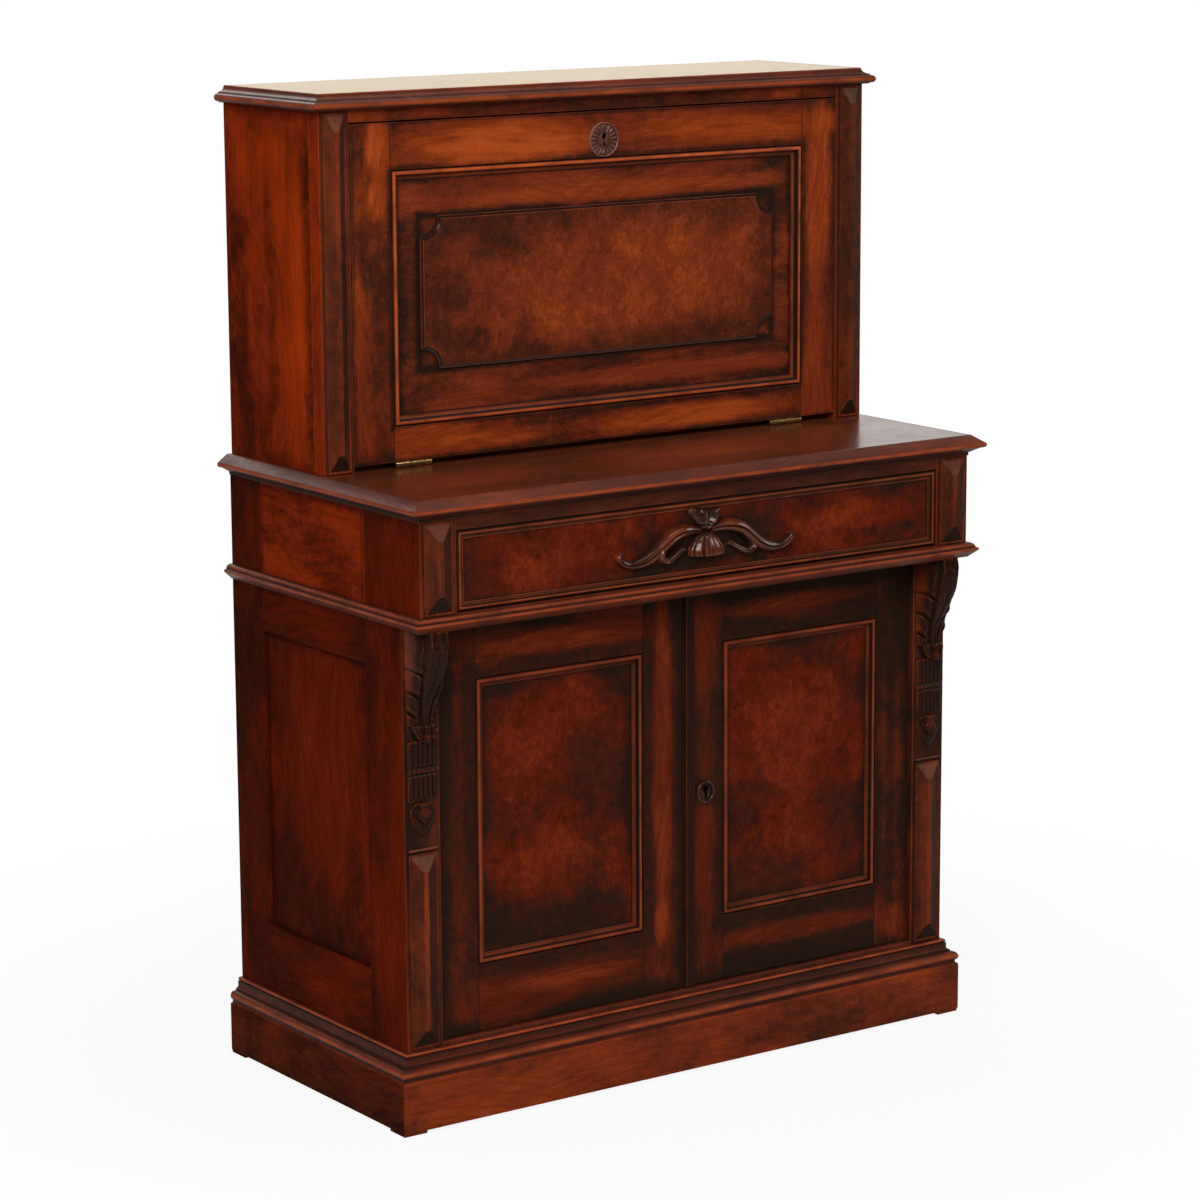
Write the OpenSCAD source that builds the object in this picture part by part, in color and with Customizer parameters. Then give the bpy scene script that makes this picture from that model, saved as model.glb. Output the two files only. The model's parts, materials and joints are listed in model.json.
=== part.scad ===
// Drop-front writing desk: a panelled two-door cupboard below, one long drawer under a moulded ledge,
// and a shallow writing case above it, closed by a fall that turns down on to the ledge.
// X runs to the right, Y to the back and Z up. Depths (d) are measured forwards from the back plane.

/* [Case] */
// Width of the lower case across its posts
case_w = 820; // [790:1:850]
// Depth of the lower case, from its back to its post fronts
case_d = 391; // [375:1:410]
// Depth of the writing case above the ledge
upper_d = 221; // [205:1:235]
// Step in from each side of the lower case to the writing case
upper_step = 3; // [1:0.5:6]
// How far the drawer section stands forward of the posts
overhang = 42; // [38:1:48]

/* [Heights] */
// Height of the foot blocks
foot_h = 4; // [2:0.5:8]
// Height of the plinth boards
plinth_h = 62; // [52:1:72]
// Height of the base moulding
base_h = 31; // [28:0.5:34]
// Height from the top of the plinth to the cupboard floor
sill_h = 36; // [35:0.5:42]
// Clear height of the cupboard
cupboard_h = 508; // [495:1:530]
// Clear height of the drawer opening
drawer_h = 98; // [92:1:106]
// Height of the rail above the drawer
rail_h = 13; // [10:0.5:18]
// Depth of the rail above the drawer
rail_d = 24; // [20:1:30]
// Thickness of the ledge
ledge_t = 26; // [24:0.5:30]
// Height of the writing case
upper_h = 430; // [418:1:445]
// Thickness of the cap
cap_t = 20; // [18:0.5:24]

/* [Boards] */
// Thickness of the lower side rails
side_t = 20; // [17:0.5:24]
// Thickness of the writing case's sides
upper_side_t = 18; // [15:0.5:22]
// Thickness of every loose panel
panel_t = 8; // [6:0.5:9]
// Thickness of the back boards
back_t = 9; // [7:0.5:12]
// Thickness of the cupboard's floor board
floor_t = 18; // [15:0.5:20]
// Thickness of the divider under the drawer
divider_t = 19; // [18:0.5:22]
// Thickness of the cupboard shelf
shelf_t = 16; // [12:0.5:20]
// Height of the shelf above the cupboard floor
shelf_z = 250; // [200:1:300]
// Thickness of the plinth boards
plinth_t = 28; // [24:0.5:32]
// Height of the lower side rail above the plinth
side_rail_low = 114; // [100:1:130]
// Height of the upper side rail
side_rail_high = 55; // [45:1:70]
// How deep a panel's edge sits in its groove
groove = 6; // [4:0.5:8]
// Clearance round a loose panel in its groove
float_gap = 0.2; // [0.1:0.05:0.5]

/* [Posts] */
// Width of the front posts
post_w = 50; // [46:1:54]
// Depth of the front posts
post_d = 80; // [70:1:90]
// Width of the rear posts
rear_post_w = 40; // [34:1:46]
// Depth of the rear posts
rear_post_d = 72; // [60:1:80]
// Width of the pilasters on the writing case
pilaster_w = 42; // [38:1:45]
// Thickness of the pilasters and of the rail between them
pilaster_t = 22; // [20:0.5:24]
// Margin beside each hipped strip
strip_margin = 4.5; // [3:0.5:6]
// Height of each corbel's leaf, down from the drawer section
corbel_h = 136; // [125:1:145]
// Height of the reeded band under each corbel's leaf
band_h = 68; // [60:1:72]
// Height of the bud that hangs under each reeded band
bud_h = 46; // [40:1:50]
// Height of a hipped strip off its post
strip_h = 7; // [5:0.5:9]
// Width of the flat along a hipped strip's ridge
strip_flat = 7; // [4:0.5:10]
// Length of a hipped strip's sloping end
strip_end = 19; // [14:0.5:24]

/* [Mouldings] */
// How far the plinth and the base moulding stand out
base_lip = 17.5; // [15:0.5:20]
// Height of the mid moulding
mid_h = 18.5; // [16:0.5:18.5]
// How far the mid moulding stands out
mid_lip = 11.7; // [10:0.1:13]
// How far the ledge moulding stands out
ledge_lip = 17.5; // [15:0.5:20]
// How far the cap moulding stands out
cap_lip = 12.5; // [11:0.5:15]

/* [Doors] */
// Thickness of the door frames
door_t = 20; // [18:0.5:22]
// How far the doors lie behind the post fronts
door_recess = 7; // [5:0.5:9]
// Gap beside, above and below each door
door_gap = 1.5; // [1:0.1:2]
// Gap between the two doors
meet_gap = 1.6; // [1.4:0.1:2.2]
// Width of the hinge stiles
hinge_stile = 54; // [48:1:60]
// Width of the meeting stiles
meet_stile = 60; // [54:1:66]
// Height of the doors' top rails
door_rail_top = 72; // [62:1:80]
// Height of the doors' bottom rails
door_rail_low = 82; // [72:1:90]
// Width of the mouldings round the door panels
door_mould_w = 13; // [11:0.5:15]
// Width of the bead on the meeting edge
bead_w = 15; // [12:0.5:17]
// Distance from a door's hinge edge to its pivot
pivot_in = 6; // [5:0.5:8]
// Radius of the pivot pins
pivot_r = 2; // [1.6:0.1:2.2]
// Angle to which the doors open
door_turn = 90; // [60:5:90]

/* [Fall] */
// Thickness of the fall's frame
fall_t = 22; // [20:0.5:24]
// Gap at each side of the fall and above it
fall_gap = 1.2; // [1:0.1:2]
// Width of the fall's stiles
fall_stile = 55; // [50:1:60]
// Height of the fall's top rail
fall_rail_top = 56; // [52:1:62]
// Height of the fall's bottom rail
fall_rail_low = 42; // [38:1:46]
// Width of the moulding round the fall's field
fall_mould_w = 14; // [12:0.5:16]
// Depth of the field below the frame's face
field_drop = 8; // [7:0.5:9]
// Margin from the stiles to the raised panel
burl_side = 43; // [38:1:48]
// Margin below the raised panel
burl_low = 65; // [60:1:70]
// Margin above the raised panel
burl_top = 58; // [54:1:62]
// Radius of the notches at the raised panel's corners
burl_notch = 25; // [18:1:30]
// Diameter of the rosette round the fall's keyhole
rosette_d = 44; // [40:1:48]
// Height of the rosette above the top rail's lower edge
rosette_z = 21; // [19:0.5:23]

/* [Hinges and locks] */
// Length of the fall's butt hinges
butt_l = 51; // [40:1:60]
// Distance from the fall's middle to the middle of each butt
butt_x = 283; // [240:1:300]
// Radius of the butts' knuckles
knuckle_r = 3.5; // [3.2:0.1:4]
// Thickness of the butts' leaves
leaf_t = 1.5; // [1:0.1:2]
// Radius of the butts' pins
pin_r = 1.4; // [1:0.1:1.8]
// Radial clearance of every pin in its bore
pin_gap = 0.05; // [0.02:0.01:0.1]
// Travel of the fall's lock bolt
fall_bolt_travel = 7; // [5:0.5:8]
// Travel of the door's lock bolt
door_bolt_travel = 6; // [5:0.5:8]
// Travel of the bolt behind the left door
flush_bolt_travel = 9; // [7:0.5:10]
// Diameter of the round part of each keyhole
key_d = 8; // [6:0.5:9]
// Length of the keyholes' slots below their round part
key_slot = 12; // [9:0.5:13]

/* [Drawer] */
// Gap round the drawer's front
drawer_gap = 1.2; // [0.8:0.1:2]
// Thickness of the drawer's front
drawer_front_t = 17; // [15:0.5:20]
// Depth of the drawer's field below its moulding
drawer_field = 5; // [4:0.5:6]
// Width of the moulding round the drawer's field
drawer_mould_w = 11; // [9:0.5:13]
// Thickness of the drawer's sides
drawer_side_t = 12; // [10:0.5:14]
// Thickness of the drawer's bottom
drawer_bottom_t = 6; // [5:0.5:8]
// Half the width of the carved pull
pull_half = 131; // [120:1:140]
// How far the carved fruit stands off the drawer's field
pull_out = 20; // [17:0.5:21]

/* [Interior] */
// Thickness of the writing bed
bed_t = 16; // [12:0.5:18]
// Depth of the gallery of pigeonholes
gallery_d = 122; // [105:1:130]
// Thickness of the gallery's boards
gallery_t = 9; // [7:0.5:11]
// Clear height of the small drawers' openings
small_h = 74; // [60:1:85]
// Clear height of the pigeonholes
hole_h = 170; // [150:1:190]
// Clear width of the open slot between the small drawers
slot_w = 240; // [200:1:280]
// Thickness of the small drawers' walls
small_t = 7; // [6:0.5:9]
// Radius of the small drawers' knobs
knob_r = 7; // [5:0.5:9]
// Thickness of the leather writing surface
lining_t = 1.2; // [0.8:0.1:2]

/* [Hidden] */
$fn = 48;

// Heights of the main levels
z_plinth = foot_h + plinth_h;
z_floor = z_plinth + sill_h;
z_soffit = z_floor + cupboard_h;
z_divider = z_soffit + divider_t;
z_rail = z_divider + drawer_h;
z_ledge = z_rail + rail_h;
z_top = z_ledge + ledge_t;
z_cap = z_top + upper_h;
z_shelf = z_floor + shelf_z;

// Half widths and depths of the main planes
half_w = case_w / 2;
upper_half = half_w - upper_step;
section_d = case_d + overhang;
back_y = (section_d + ledge_lip) / 2;
open_half = half_w - post_w;
fall_open = upper_half - pilaster_w;
inner_half = half_w - side_t;
upper_inner = upper_half - upper_side_t;
rebate = 10;
back_gap = 1;
back_d = back_t + back_gap;

// The doors
door_face = case_d - door_recess;
door_back = door_face - door_t;
door_x0 = meet_gap / 2;
door_x1 = open_half - door_gap;
door_z0 = z_floor + door_gap;
door_z1 = z_soffit - door_gap;
door_px0 = door_x0 + meet_stile;
door_px1 = door_x1 - hinge_stile;
door_pz0 = door_z0 + door_rail_low;
door_pz1 = door_z1 - door_rail_top;
pivot_x = door_x1 - pivot_in;
pivot_set = sqrt(pow(pivot_in + door_gap - 0.25, 2) - pow(pivot_in, 2));
pivot_d = door_face - pivot_set;
pivot_plate_t = 2;
pivot_w = 12;
pivot_front = door_face - 0.8;
pivot_l = 34;
lock_z = (door_z0 + door_z1) / 2 - 7;
lock_x = door_x0 + bead_w + 17;

// The fall and its butts
hinge_z = z_top + knuckle_r + 0.2;
fall_z0 = hinge_z + knuckle_r + 0.3;
rail_top_h = 15;
fall_z1 = z_cap - rail_top_h - fall_gap - 0.8;
fall_half = fall_open - fall_gap;
fall_back = upper_d - fall_t;
field_half = fall_half - fall_stile;
field_z0 = fall_z0 + fall_rail_low;
field_z1 = fall_z1 - fall_rail_top;
rosette_zc = field_z1 + rosette_z;
bed_z = hinge_z + fall_t;
stop_gap = 0.3;

// The drawer
drawer_half = open_half - drawer_gap;
drawer_z0 = z_divider + drawer_gap;
drawer_z1 = z_rail - drawer_gap;
drawer_face = section_d - drawer_field;
drawer_inner = drawer_face - drawer_front_t;
drawer_back = back_d + 18;
side_low = 0.4;
lap = 11;

// The gallery
gallery_d0 = back_d;
gallery_d1 = gallery_d0 + gallery_d;
deck_z = bed_z + small_h;
top_deck_z = deck_z + gallery_t + hole_h;
small_x0 = slot_w / 2 + gallery_t;
small_x1 = upper_inner;
small_gap = 0.8;

walnut = [0.33, 0.12, 0.06];
dark_walnut = [0.22, 0.09, 0.05];
burl = [0.42, 0.16, 0.07];
pine = [0.62, 0.45, 0.27];
brass = [0.72, 0.55, 0.25];
hide = [0.25, 0.07, 0.05];

function dy(d) = back_y - d;

// A board between two x, two depths and two heights
module slab(x0, x1, d0, d1, z0, z1) {
  translate([x0, dy(d1), z0])
    cube([x1 - x0, d1 - d0, z1 - z0]);
}

module both() {
  children();
  mirror([1, 0, 0])
    children();
}

// Mitred lengths round the front and both sides; the child is a profile of (outwards, up)
module surround(hw, d, z) {
  reach = 60;
  seam = 0.05;
  y = dy(d);
  intersection() {
    translate([0, y, z])
      rotate([90, 0, -90])
        linear_extrude(2 * (hw + reach), center = true)
          children();
    translate([0, 0, z - 1])
      linear_extrude(200)
        polygon([[-hw + reach, y + reach - seam], [hw - reach, y + reach - seam],
          [hw + reach, y - reach - seam], [-hw - reach, y - reach - seam]]);
  }
  both()
    intersection() {
      translate([hw, back_y, z])
        rotate([90, 0, 0])
          linear_extrude(d + reach)
            children();
      translate([0, 0, z - 1])
        linear_extrude(200)
          polygon([[hw - reach, y + reach], [hw + reach, y - reach], [hw + reach, back_y + 1],
            [hw - reach, back_y + 1]]);
    }
}

// Four mitred lengths of a frame in the XY plane; the child is a profile of (inwards, up)
module frame_length(w, h) {
  reach = 24;
  translate([0, -h / 2, 0])
    intersection() {
      rotate([90, 0, 90])
        linear_extrude(w, center = true)
          children();
      translate([0, 0, -50])
        linear_extrude(100)
          polygon([[-w / 2, 0], [w / 2, 0], [w / 2 - reach, reach], [-w / 2 + reach, reach]]);
    }
}

module frame_round(x0, x1, z0, z1, d) {
  w = x1 - x0;
  h = z1 - z0;
  translate([(x0 + x1) / 2, dy(d), (z0 + z1) / 2])
    rotate([90, 0, 0]) {
      for (a = [0, 180])
        rotate(a)
          frame_length(w, h)
            children();
      for (a = [90, 270])
        rotate(a)
          frame_length(h, w)
            children();
    }
}

// Bead, hollow and slope of a panel moulding; up is 0 at the frame's face
module panel_profile(w, drop, bead_r, proud) {
  quirk = 2;
  bead_x = quirk + bead_r;
  bead_y = proud - bead_r;
  translate([0, -drop])
    square([quirk, drop - 2.5]);
  translate([quirk, -drop])
    square([2 * bead_r, drop + bead_y]);
  translate([bead_x, bead_y])
    circle(bead_r);
  difference() {
    translate([bead_x, -drop])
      square([w - bead_x, drop + bead_y]);
    translate([w, bead_y + 0.5])
      circle(w - bead_x - bead_r + 1);
  }
  translate([bead_x, -drop])
    square([w - bead_x, 1.2]);
}

// Outline of a floor, divider or shelf, notched round the posts
module floor_plan(front) {
  notch_d = case_d - post_d;
  half = [[rear_half(), dy(back_d)], [rear_half(), dy(rear_post_d)], [inner_half, dy(rear_post_d)],
    [inner_half, dy(notch_d)], [open_half, dy(notch_d)], [open_half, dy(front)]];
  polygon(concat(half, [for (i = [len(half) - 1:-1:0]) [-half[i].x, half[i].y]]));
}

function rear_half() = half_w - rear_post_w;

// A keyhole through the front, cut along Y
module keyhole(x, z, d0, d1) {
  translate([x, dy(d0), z])
    rotate([90, 0, 0])
      linear_extrude(d1 - d0) {
        circle(d = key_d);
        translate([-1.9, -key_slot])
          square([3.8, key_slot]);
      }
}

// Strip of trapezium section with sloping ends, on a thin slab, standing off towards -Y
module hipped_strip(x, d, z0, z1, w) {
  slab_t = 1.5;
  hip_w = w - 6;
  l = z1 - z0;
  translate([x, dy(d), z0]) {
    translate([-w / 2, -slab_t, 0])
      cube([w, slab_t, l]);
    translate([0, -slab_t, 3])
      intersection() {
        linear_extrude(l - 6)
          polygon([[-hip_w / 2, 0], [hip_w / 2, 0], [strip_flat / 2, slab_t - strip_h],
            [-strip_flat / 2, slab_t - strip_h]]);
        rotate([90, 0, 90])
          linear_extrude(w, center = true)
            polygon([[0, 0], [0, l - 6], [slab_t - strip_h, l - 6 - strip_end], [slab_t - strip_h, strip_end]]);
      }
  }
}

// Closed relief over a grid: at(u, v) gives a point for u from -1 to 1 and v from 0 (top) to 1
module relief(nu, nv, at) {
  front = [for (j = [0:nv], i = [0:nu]) at(2 * i / nu - 1, j / nv)];
  rim = concat([for (i = [0:nu - 1]) i], [for (j = [0:nv - 1]) j * (nu + 1) + nu],
    [for (i = [nu:-1:1]) nv * (nu + 1) + i], [for (j = [nv:-1:1]) j * (nu + 1)]);
  n = len(front);
  m = len(rim);
  mid = at(0, 0.5);
  back = concat([for (k = rim) [front[k].x, 0, front[k].z]], [[mid.x, 0, mid.z]]);
  skin = [for (j = [0:nv - 1], i = [0:nu - 1]) let (a = j * (nu + 1) + i)
    each [[a, a + 1, a + nu + 2], [a, a + nu + 2, a + nu + 1]]];
  wall = [for (k = [0:m - 1]) let (q = (k + 1) % m)
    each [[rim[q], rim[k], n + k], [rim[q], n + k, n + q]]];
  fan = [for (k = [0:m - 1]) [n + (k + 1) % m, n + k, n + m]];
  polyhedron(concat(front, back), concat(skin, wall, fan));
}

// Half-round band along a path in the XZ plane; widths and heights are given point by point
module band(path, widths, heights, lift, sides = 8) {
  n = len(path);
  ring = sides + 1;
  dirs = [for (i = [0:n - 1]) let (t = path[min(i + 1, n - 1)] - path[max(i - 1, 0)]) t / norm(t)];
  pts = [for (i = [0:n - 1], k = [0:sides]) let (a = 180 * k / sides, s = widths[i] * cos(a))
    [path[i].x - dirs[i].y * s, -lift - heights[i] * pow(sin(a), 0.7), path[i].y + dirs[i].x * s]];
  skin = [for (i = [0:n - 2], k = [0:sides - 1]) let (a = i * ring + k)
    each [[a + ring + 1, a + 1, a], [a + ring, a + ring + 1, a]]];
  flat = [for (i = [0:n - 2]) let (a = i * ring, b = a + sides)
    each [[a + ring, a, b], [b + ring, a + ring, b]]];
  caps = [[for (k = [0:sides]) k], [for (k = [sides:-1:0]) (n - 1) * ring + k]];
  polyhedron(pts, concat(skin, flat, caps));
}

function arc(c, r, a0, a1, n) = [for (i = [0:n]) let (a = a0 + (a1 - a0) * i / n) c + r * [cos(a), sin(a)]];
function swell(n, a, b, c) = [for (i = [0:n - 1]) let (t = i / (n - 1))
  t < 0.5 ? a + (b - a) * sin(180 * t) : c + (b - c) * sin(180 * t)];

// Plinth and base

module foot_blocks() color(dark_walnut) {
  size = 32;
  inset = 1;
  outer = half_w + base_lip - inset;
  front = case_d + base_lip - inset;
  both()
    for (d0 = [0, front - size])
      slab(outer - size, outer, d0, d0 + size, 0, foot_h);
}

module plinth_profile() {
  round_r = 3;
  translate([base_lip - plinth_t, 0])
    square([plinth_t, plinth_h - round_r]);
  translate([base_lip - plinth_t, 0])
    square([plinth_t - round_r, plinth_h]);
  translate([base_lip - round_r, plinth_h - round_r])
    circle(round_r);
}

module plinth() color(walnut) {
  surround(half_w, case_d, foot_h)
    plinth_profile();
  inside = half_w + base_lip - plinth_t;
  slab(-inside, inside, 0, plinth_t, foot_h, z_plinth);
}

module base_profile() {
  torus_r = 6.1;
  bead_r = 2.3;
  torus_z = torus_r + 2.5;
  step_z = 2 * torus_r + 2.5;
  neck = 6;
  square([base_lip - torus_r, step_z]);
  square([base_lip - torus_r + 3, 3]);
  translate([base_lip - torus_r, torus_z])
    circle(torus_r);
  square([neck + 3.5, step_z + 2.5]);
  difference() {
    square([neck + 3.5, step_z + 6]);
    translate([neck + 3.5, step_z + 6])
      circle(3.5);
  }
  square([neck, base_h - 2 * bead_r]);
  square([bead_r + 0.8, base_h]);
  translate([bead_r + 0.8, base_h - bead_r])
    circle(bead_r);
}

module base_moulding() color(walnut)
  surround(half_w, case_d, z_plinth)
    base_profile();

module bottom_board() color(pine) {
  translate([0, 0, z_floor - floor_t])
    difference() {
      linear_extrude(floor_t)
        floor_plan(case_d);
      both()
        translate([0, 0, floor_t - pivot_plate_t])
          linear_extrude(pivot_plate_t + 1)
            pivot_outline();
    }
  slab(-open_half, open_half, case_d - 20, case_d, z_plinth, z_floor - floor_t);
}

// Posts, rails and panels

module side_panel_solid(grow) {
  x1 = half_w - 6 + grow;
  slab(x1 - panel_t - 2 * grow, x1, rear_post_d - groove - grow, case_d - post_d + groove + grow,
    z_plinth + side_rail_low - groove - grow, z_soffit - side_rail_high + groove + grow);
}

module front_posts() color(walnut)
  both()
    difference() {
      slab(open_half, half_w, case_d - post_d, case_d, z_plinth, z_soffit);
      side_panel_solid(float_gap);
    }

module rear_posts() color(walnut)
  both()
    difference() {
      slab(rear_half(), half_w, 0, rear_post_d, z_plinth, z_ledge);
      slab(rear_half() - 1, rear_half() + rebate, -1, back_d, z_plinth - 1, z_ledge + 1);
      side_panel_solid(float_gap);
    }

module side_rails() color(walnut)
  both()
    difference() {
      union() {
        slab(inner_half, half_w, rear_post_d, case_d - post_d, z_plinth, z_plinth + side_rail_low);
        slab(inner_half, half_w, rear_post_d, case_d - post_d, z_soffit - side_rail_high, z_soffit);
      }
      side_panel_solid(float_gap);
    }

module side_panels() color(burl)
  both()
    side_panel_solid(0);

module hipped_strips() color(walnut) {
  post_x = half_w - post_w / 2;
  pilaster_x = upper_half - pilaster_w / 2;
  wide = post_w - 2 * strip_margin;
  low_top = z_soffit - corbel_h - band_h - bud_h - 22;
  both() {
    hipped_strip(post_x, case_d, z_plinth + base_h + 3, low_top, wide);
    hipped_strip(post_x, section_d, z_soffit + mid_h + 1, z_ledge - 1, wide);
    hipped_strip(pilaster_x, upper_d, z_top + 1, z_cap - 2, pilaster_w - 2 * strip_margin);
    translate([post_x - wide / 2, dy(case_d), low_top + 4])
      rotate([0, 90, 0])
        intersection() {
          cylinder(r = 2.4, h = wide);
          translate([-5, -5, 0])
            cube([10, 5, wide]);
        }
  }
}

// Carved corbels: a leaf that sweeps back from the soffit, a reeded band and a hanging bud

corbel_out = overhang;
corbel_k = post_w / 50;
function leaf_out(v) = let (s = [1, 1.03, 0.93, 0.68, 0.38, 0.24, 0.27, 0.2, 0.06], t = v * 7.999, i = floor(t), f = t - i)
  corbel_out * (s[i] + (s[i + 1] - s[i]) * (0.5 - 0.5 * cos(180 * f)));
function leaf_half(v) = 22.5 * corbel_k * (1 - 0.06 * pow(abs(sin(540 * v)), 6)) * (v > 0.85 ? 1 - 9 * pow(v - 0.85, 2) : 1);
function leaf_point(u, v) = let (
    edge = 1 - pow(abs(u), 5),
    vein = 1 - 0.10 * exp(-pow(u / 0.09, 2)) - 0.07 * pow(sin(270 * abs(u)), 2),
    out = 1.5 + leaf_out(v) * edge * vein)
  [u * leaf_half(v), -out, -v * corbel_h];

module corbel() {
  k = corbel_k;
  band_w = 40 * k;
  reed_r = 2.6 * k;
  relief(16, 28, function(u, v) leaf_point(u, v));
  translate([-band_w / 2, -3 * k, -corbel_h - band_h])
    cube([band_w, 3 * k, band_h]);
  for (i = [-2:2])
    translate([i * band_w / 5.4, -reed_r, -corbel_h - band_h + 3 * k])
      cylinder(r = reed_r, h = band_h - 3 * k);
  translate([-band_w / 2, -1.3 * reed_r, -corbel_h - band_h / 2])
    rotate([0, 90, 0])
      cylinder(r = reed_r, h = band_w);
  translate([0, 0, -corbel_h - band_h])
    relief(10, 12, function(u, v) let (
        w = (17 * pow(cos(88 * pow(v, 1.6)), 0.8) + 0.6) * k,
        swell = (1 - pow(abs(u), 3)) * (9 - 3 * v) * (1 - 0.25 * pow(abs(sin(270 * u)), 2)))
      [u * w, -k - swell * w / 17.6, -v * bud_h]);
}

module left_corbel() color(dark_walnut)
  translate([-half_w + post_w / 2, dy(case_d), z_soffit])
    corbel();

module right_corbel() color(dark_walnut)
  translate([half_w - post_w / 2, dy(case_d), z_soffit])
    corbel();

// Drawer section

module divider_board() color(pine)
  translate([0, 0, z_soffit])
    difference() {
      linear_extrude(divider_t)
        floor_plan(section_d);
      translate([0, 0, -1])
        linear_extrude(pivot_plate_t + 1)
          both()
            pivot_outline();
      flush_socket(-z_soffit);
    }

module mid_profile() {
  bead_r = 2.1;
  top_r = 6.8;
  lip_z = mid_h - top_r - 1.4;
  translate([0, mid_h - top_r])
    intersection() {
      translate([2, 0])
        circle(top_r);
      square([top_r + 2, top_r]);
    }
  square([2, mid_h]);
  polygon([[0, 0], [1.6, 0], [mid_lip - bead_r + 1.4, lip_z - 1.6], [mid_lip - bead_r, mid_h - top_r],
    [0, mid_h - top_r]]);
  translate([mid_lip - bead_r, lip_z])
    circle(bead_r);
}

module mid_moulding() color(walnut)
  surround(half_w, section_d, z_soffit)
    mid_profile();

module drawer_blocks() color(walnut)
  both()
    slab(open_half, half_w, case_d - post_d, section_d, z_soffit, z_ledge);

module drawer_section_sides() color(walnut)
  both()
    slab(inner_half, half_w, rear_post_d, case_d - post_d, z_soffit, z_ledge);

module drawer_rail() color(walnut)
  slab(-open_half, open_half, section_d - rail_d, section_d, z_rail, z_ledge);

// Drawer guides and kickers, shelf cleats and door stops

module inner_battens() color(pine) {
  guide_h = 22;
  cleat = 14;
  stop_x = door_x0 + meet_stile + 20;
  both() {
    slab(drawer_half + 0.2, inner_half, rear_post_d, case_d - post_d, z_divider, z_divider + guide_h);
    slab(inner_half - 40, inner_half, rear_post_d, case_d - post_d, z_rail, z_ledge);
    slab(inner_half - cleat, inner_half, rear_post_d, case_d - post_d, z_shelf - cleat, z_shelf);
  }
  for (x = [-stop_x - 80, stop_x])
    slab(x, x + 80, door_back - stop_gap - 12, door_back - stop_gap, z_soffit - 12, z_soffit);
  slab(-stop_x - 80, stop_x + 80, door_back - stop_gap - 10, door_back - stop_gap, z_floor, z_floor + 6);
}

module back_row(hw, z0, z1, count) {
  gap = 0.6;
  w = 2 * hw / count;
  for (i = [0:count - 1])
    slab(-hw + i * w + gap / 2, -hw + (i + 1) * w - gap / 2, back_gap, back_d, z0, z1);
}

module lower_back() color(pine)
  back_row(rear_half() + rebate, z_plinth, z_ledge, 5);

module cupboard_shelf() color(pine)
  translate([0, 0, z_shelf])
    linear_extrude(shelf_t)
      floor_plan(case_d - post_d - 6);

// Ledge

module desk_ledge() color(walnut)
  slab(-half_w, half_w, 0, section_d, z_ledge, z_top);

module ledge_profile() {
  nose_r = 3.6;
  nose_z = ledge_t / 2 + 1;
  polygon([[0, 0], [1, 0], [1, 3.6], [ledge_lip - nose_r - 1, nose_z - nose_r + 0.3],
    [ledge_lip - nose_r + 1.6, nose_z + nose_r - 0.4], [3.2, ledge_t], [0, ledge_t]]);
  translate([ledge_lip - nose_r, nose_z])
    circle(nose_r);
}

module ledge_moulding() color(walnut)
  surround(half_w, section_d, z_ledge)
    ledge_profile();

// Writing case

module upper_sides() color(walnut)
  both()
    difference() {
      slab(upper_inner, upper_half, 0, upper_d - pilaster_t, z_top, z_cap);
      slab(upper_inner - 1, upper_inner + rebate, -1, back_d, z_top - 1, z_cap + 1);
    }

module pilasters() color(walnut)
  both()
    slab(fall_open, upper_half, upper_d - pilaster_t, upper_d, z_top, z_cap);

// Rail over the fall, mortised for the lock bolt, with the batten that stops the fall behind it
module top_rail() color(walnut) {
  difference() {
    slab(-fall_open, fall_open, upper_d - pilaster_t, upper_d, z_cap - rail_top_h, z_cap);
    slab(-14, 14, fall_back + 2, fall_back + 12, z_cap - rail_top_h - 1, z_cap - rail_top_h + 10);
  }
  slab(-upper_inner, upper_inner, fall_back - stop_gap - 12, fall_back - stop_gap, fall_z1 - 8, z_cap);
}

cap_in = 0.3 * cap_t;

module cap_board() color(walnut)
  slab(-upper_half + cap_in, upper_half - cap_in, 0, upper_d - cap_in, z_cap, z_cap + cap_t);

module cap_profile() {
  nose_r = 0.24 * cap_t;
  nose_z = 0.3 * cap_t;
  nose_x = cap_lip - nose_r;
  square_x = nose_x - 0.06 * cap_t;
  square_z = nose_z + nose_r + 0.07 * cap_t;
  difference() {
    translate([-cap_in, 0])
      square([cap_in + square_x, cap_t]);
    translate([square_x, cap_t + 0.03 * cap_t])
      circle(0.4 * cap_t);
  }
  polygon([[0, 0.02 * cap_t], [nose_x, 0.06 * cap_t], [nose_x, nose_z + nose_r], [square_x, square_z], [0, square_z]]);
  translate([nose_x, nose_z])
    circle(nose_r);
}

module cap_moulding() color(walnut)
  surround(upper_half, upper_d, z_cap)
    cap_profile();

module upper_back() color(pine)
  back_row(upper_inner + rebate, z_top, z_cap, 5);

// Writing bed on its bearers; its top is level with the opened fall
module writing_bed() color(walnut) {
  front = fall_back - 1;
  slab(-upper_inner, upper_inner, back_d, front, bed_z - bed_t, bed_z);
  slab(-upper_inner, upper_inner, front - 16, front, z_top, bed_z - bed_t);
  for (x = [-upper_inner, -10, upper_inner - 20])
    slab(x, x + 20, back_d, front - 16, z_top, bed_z - bed_t);
}

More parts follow.
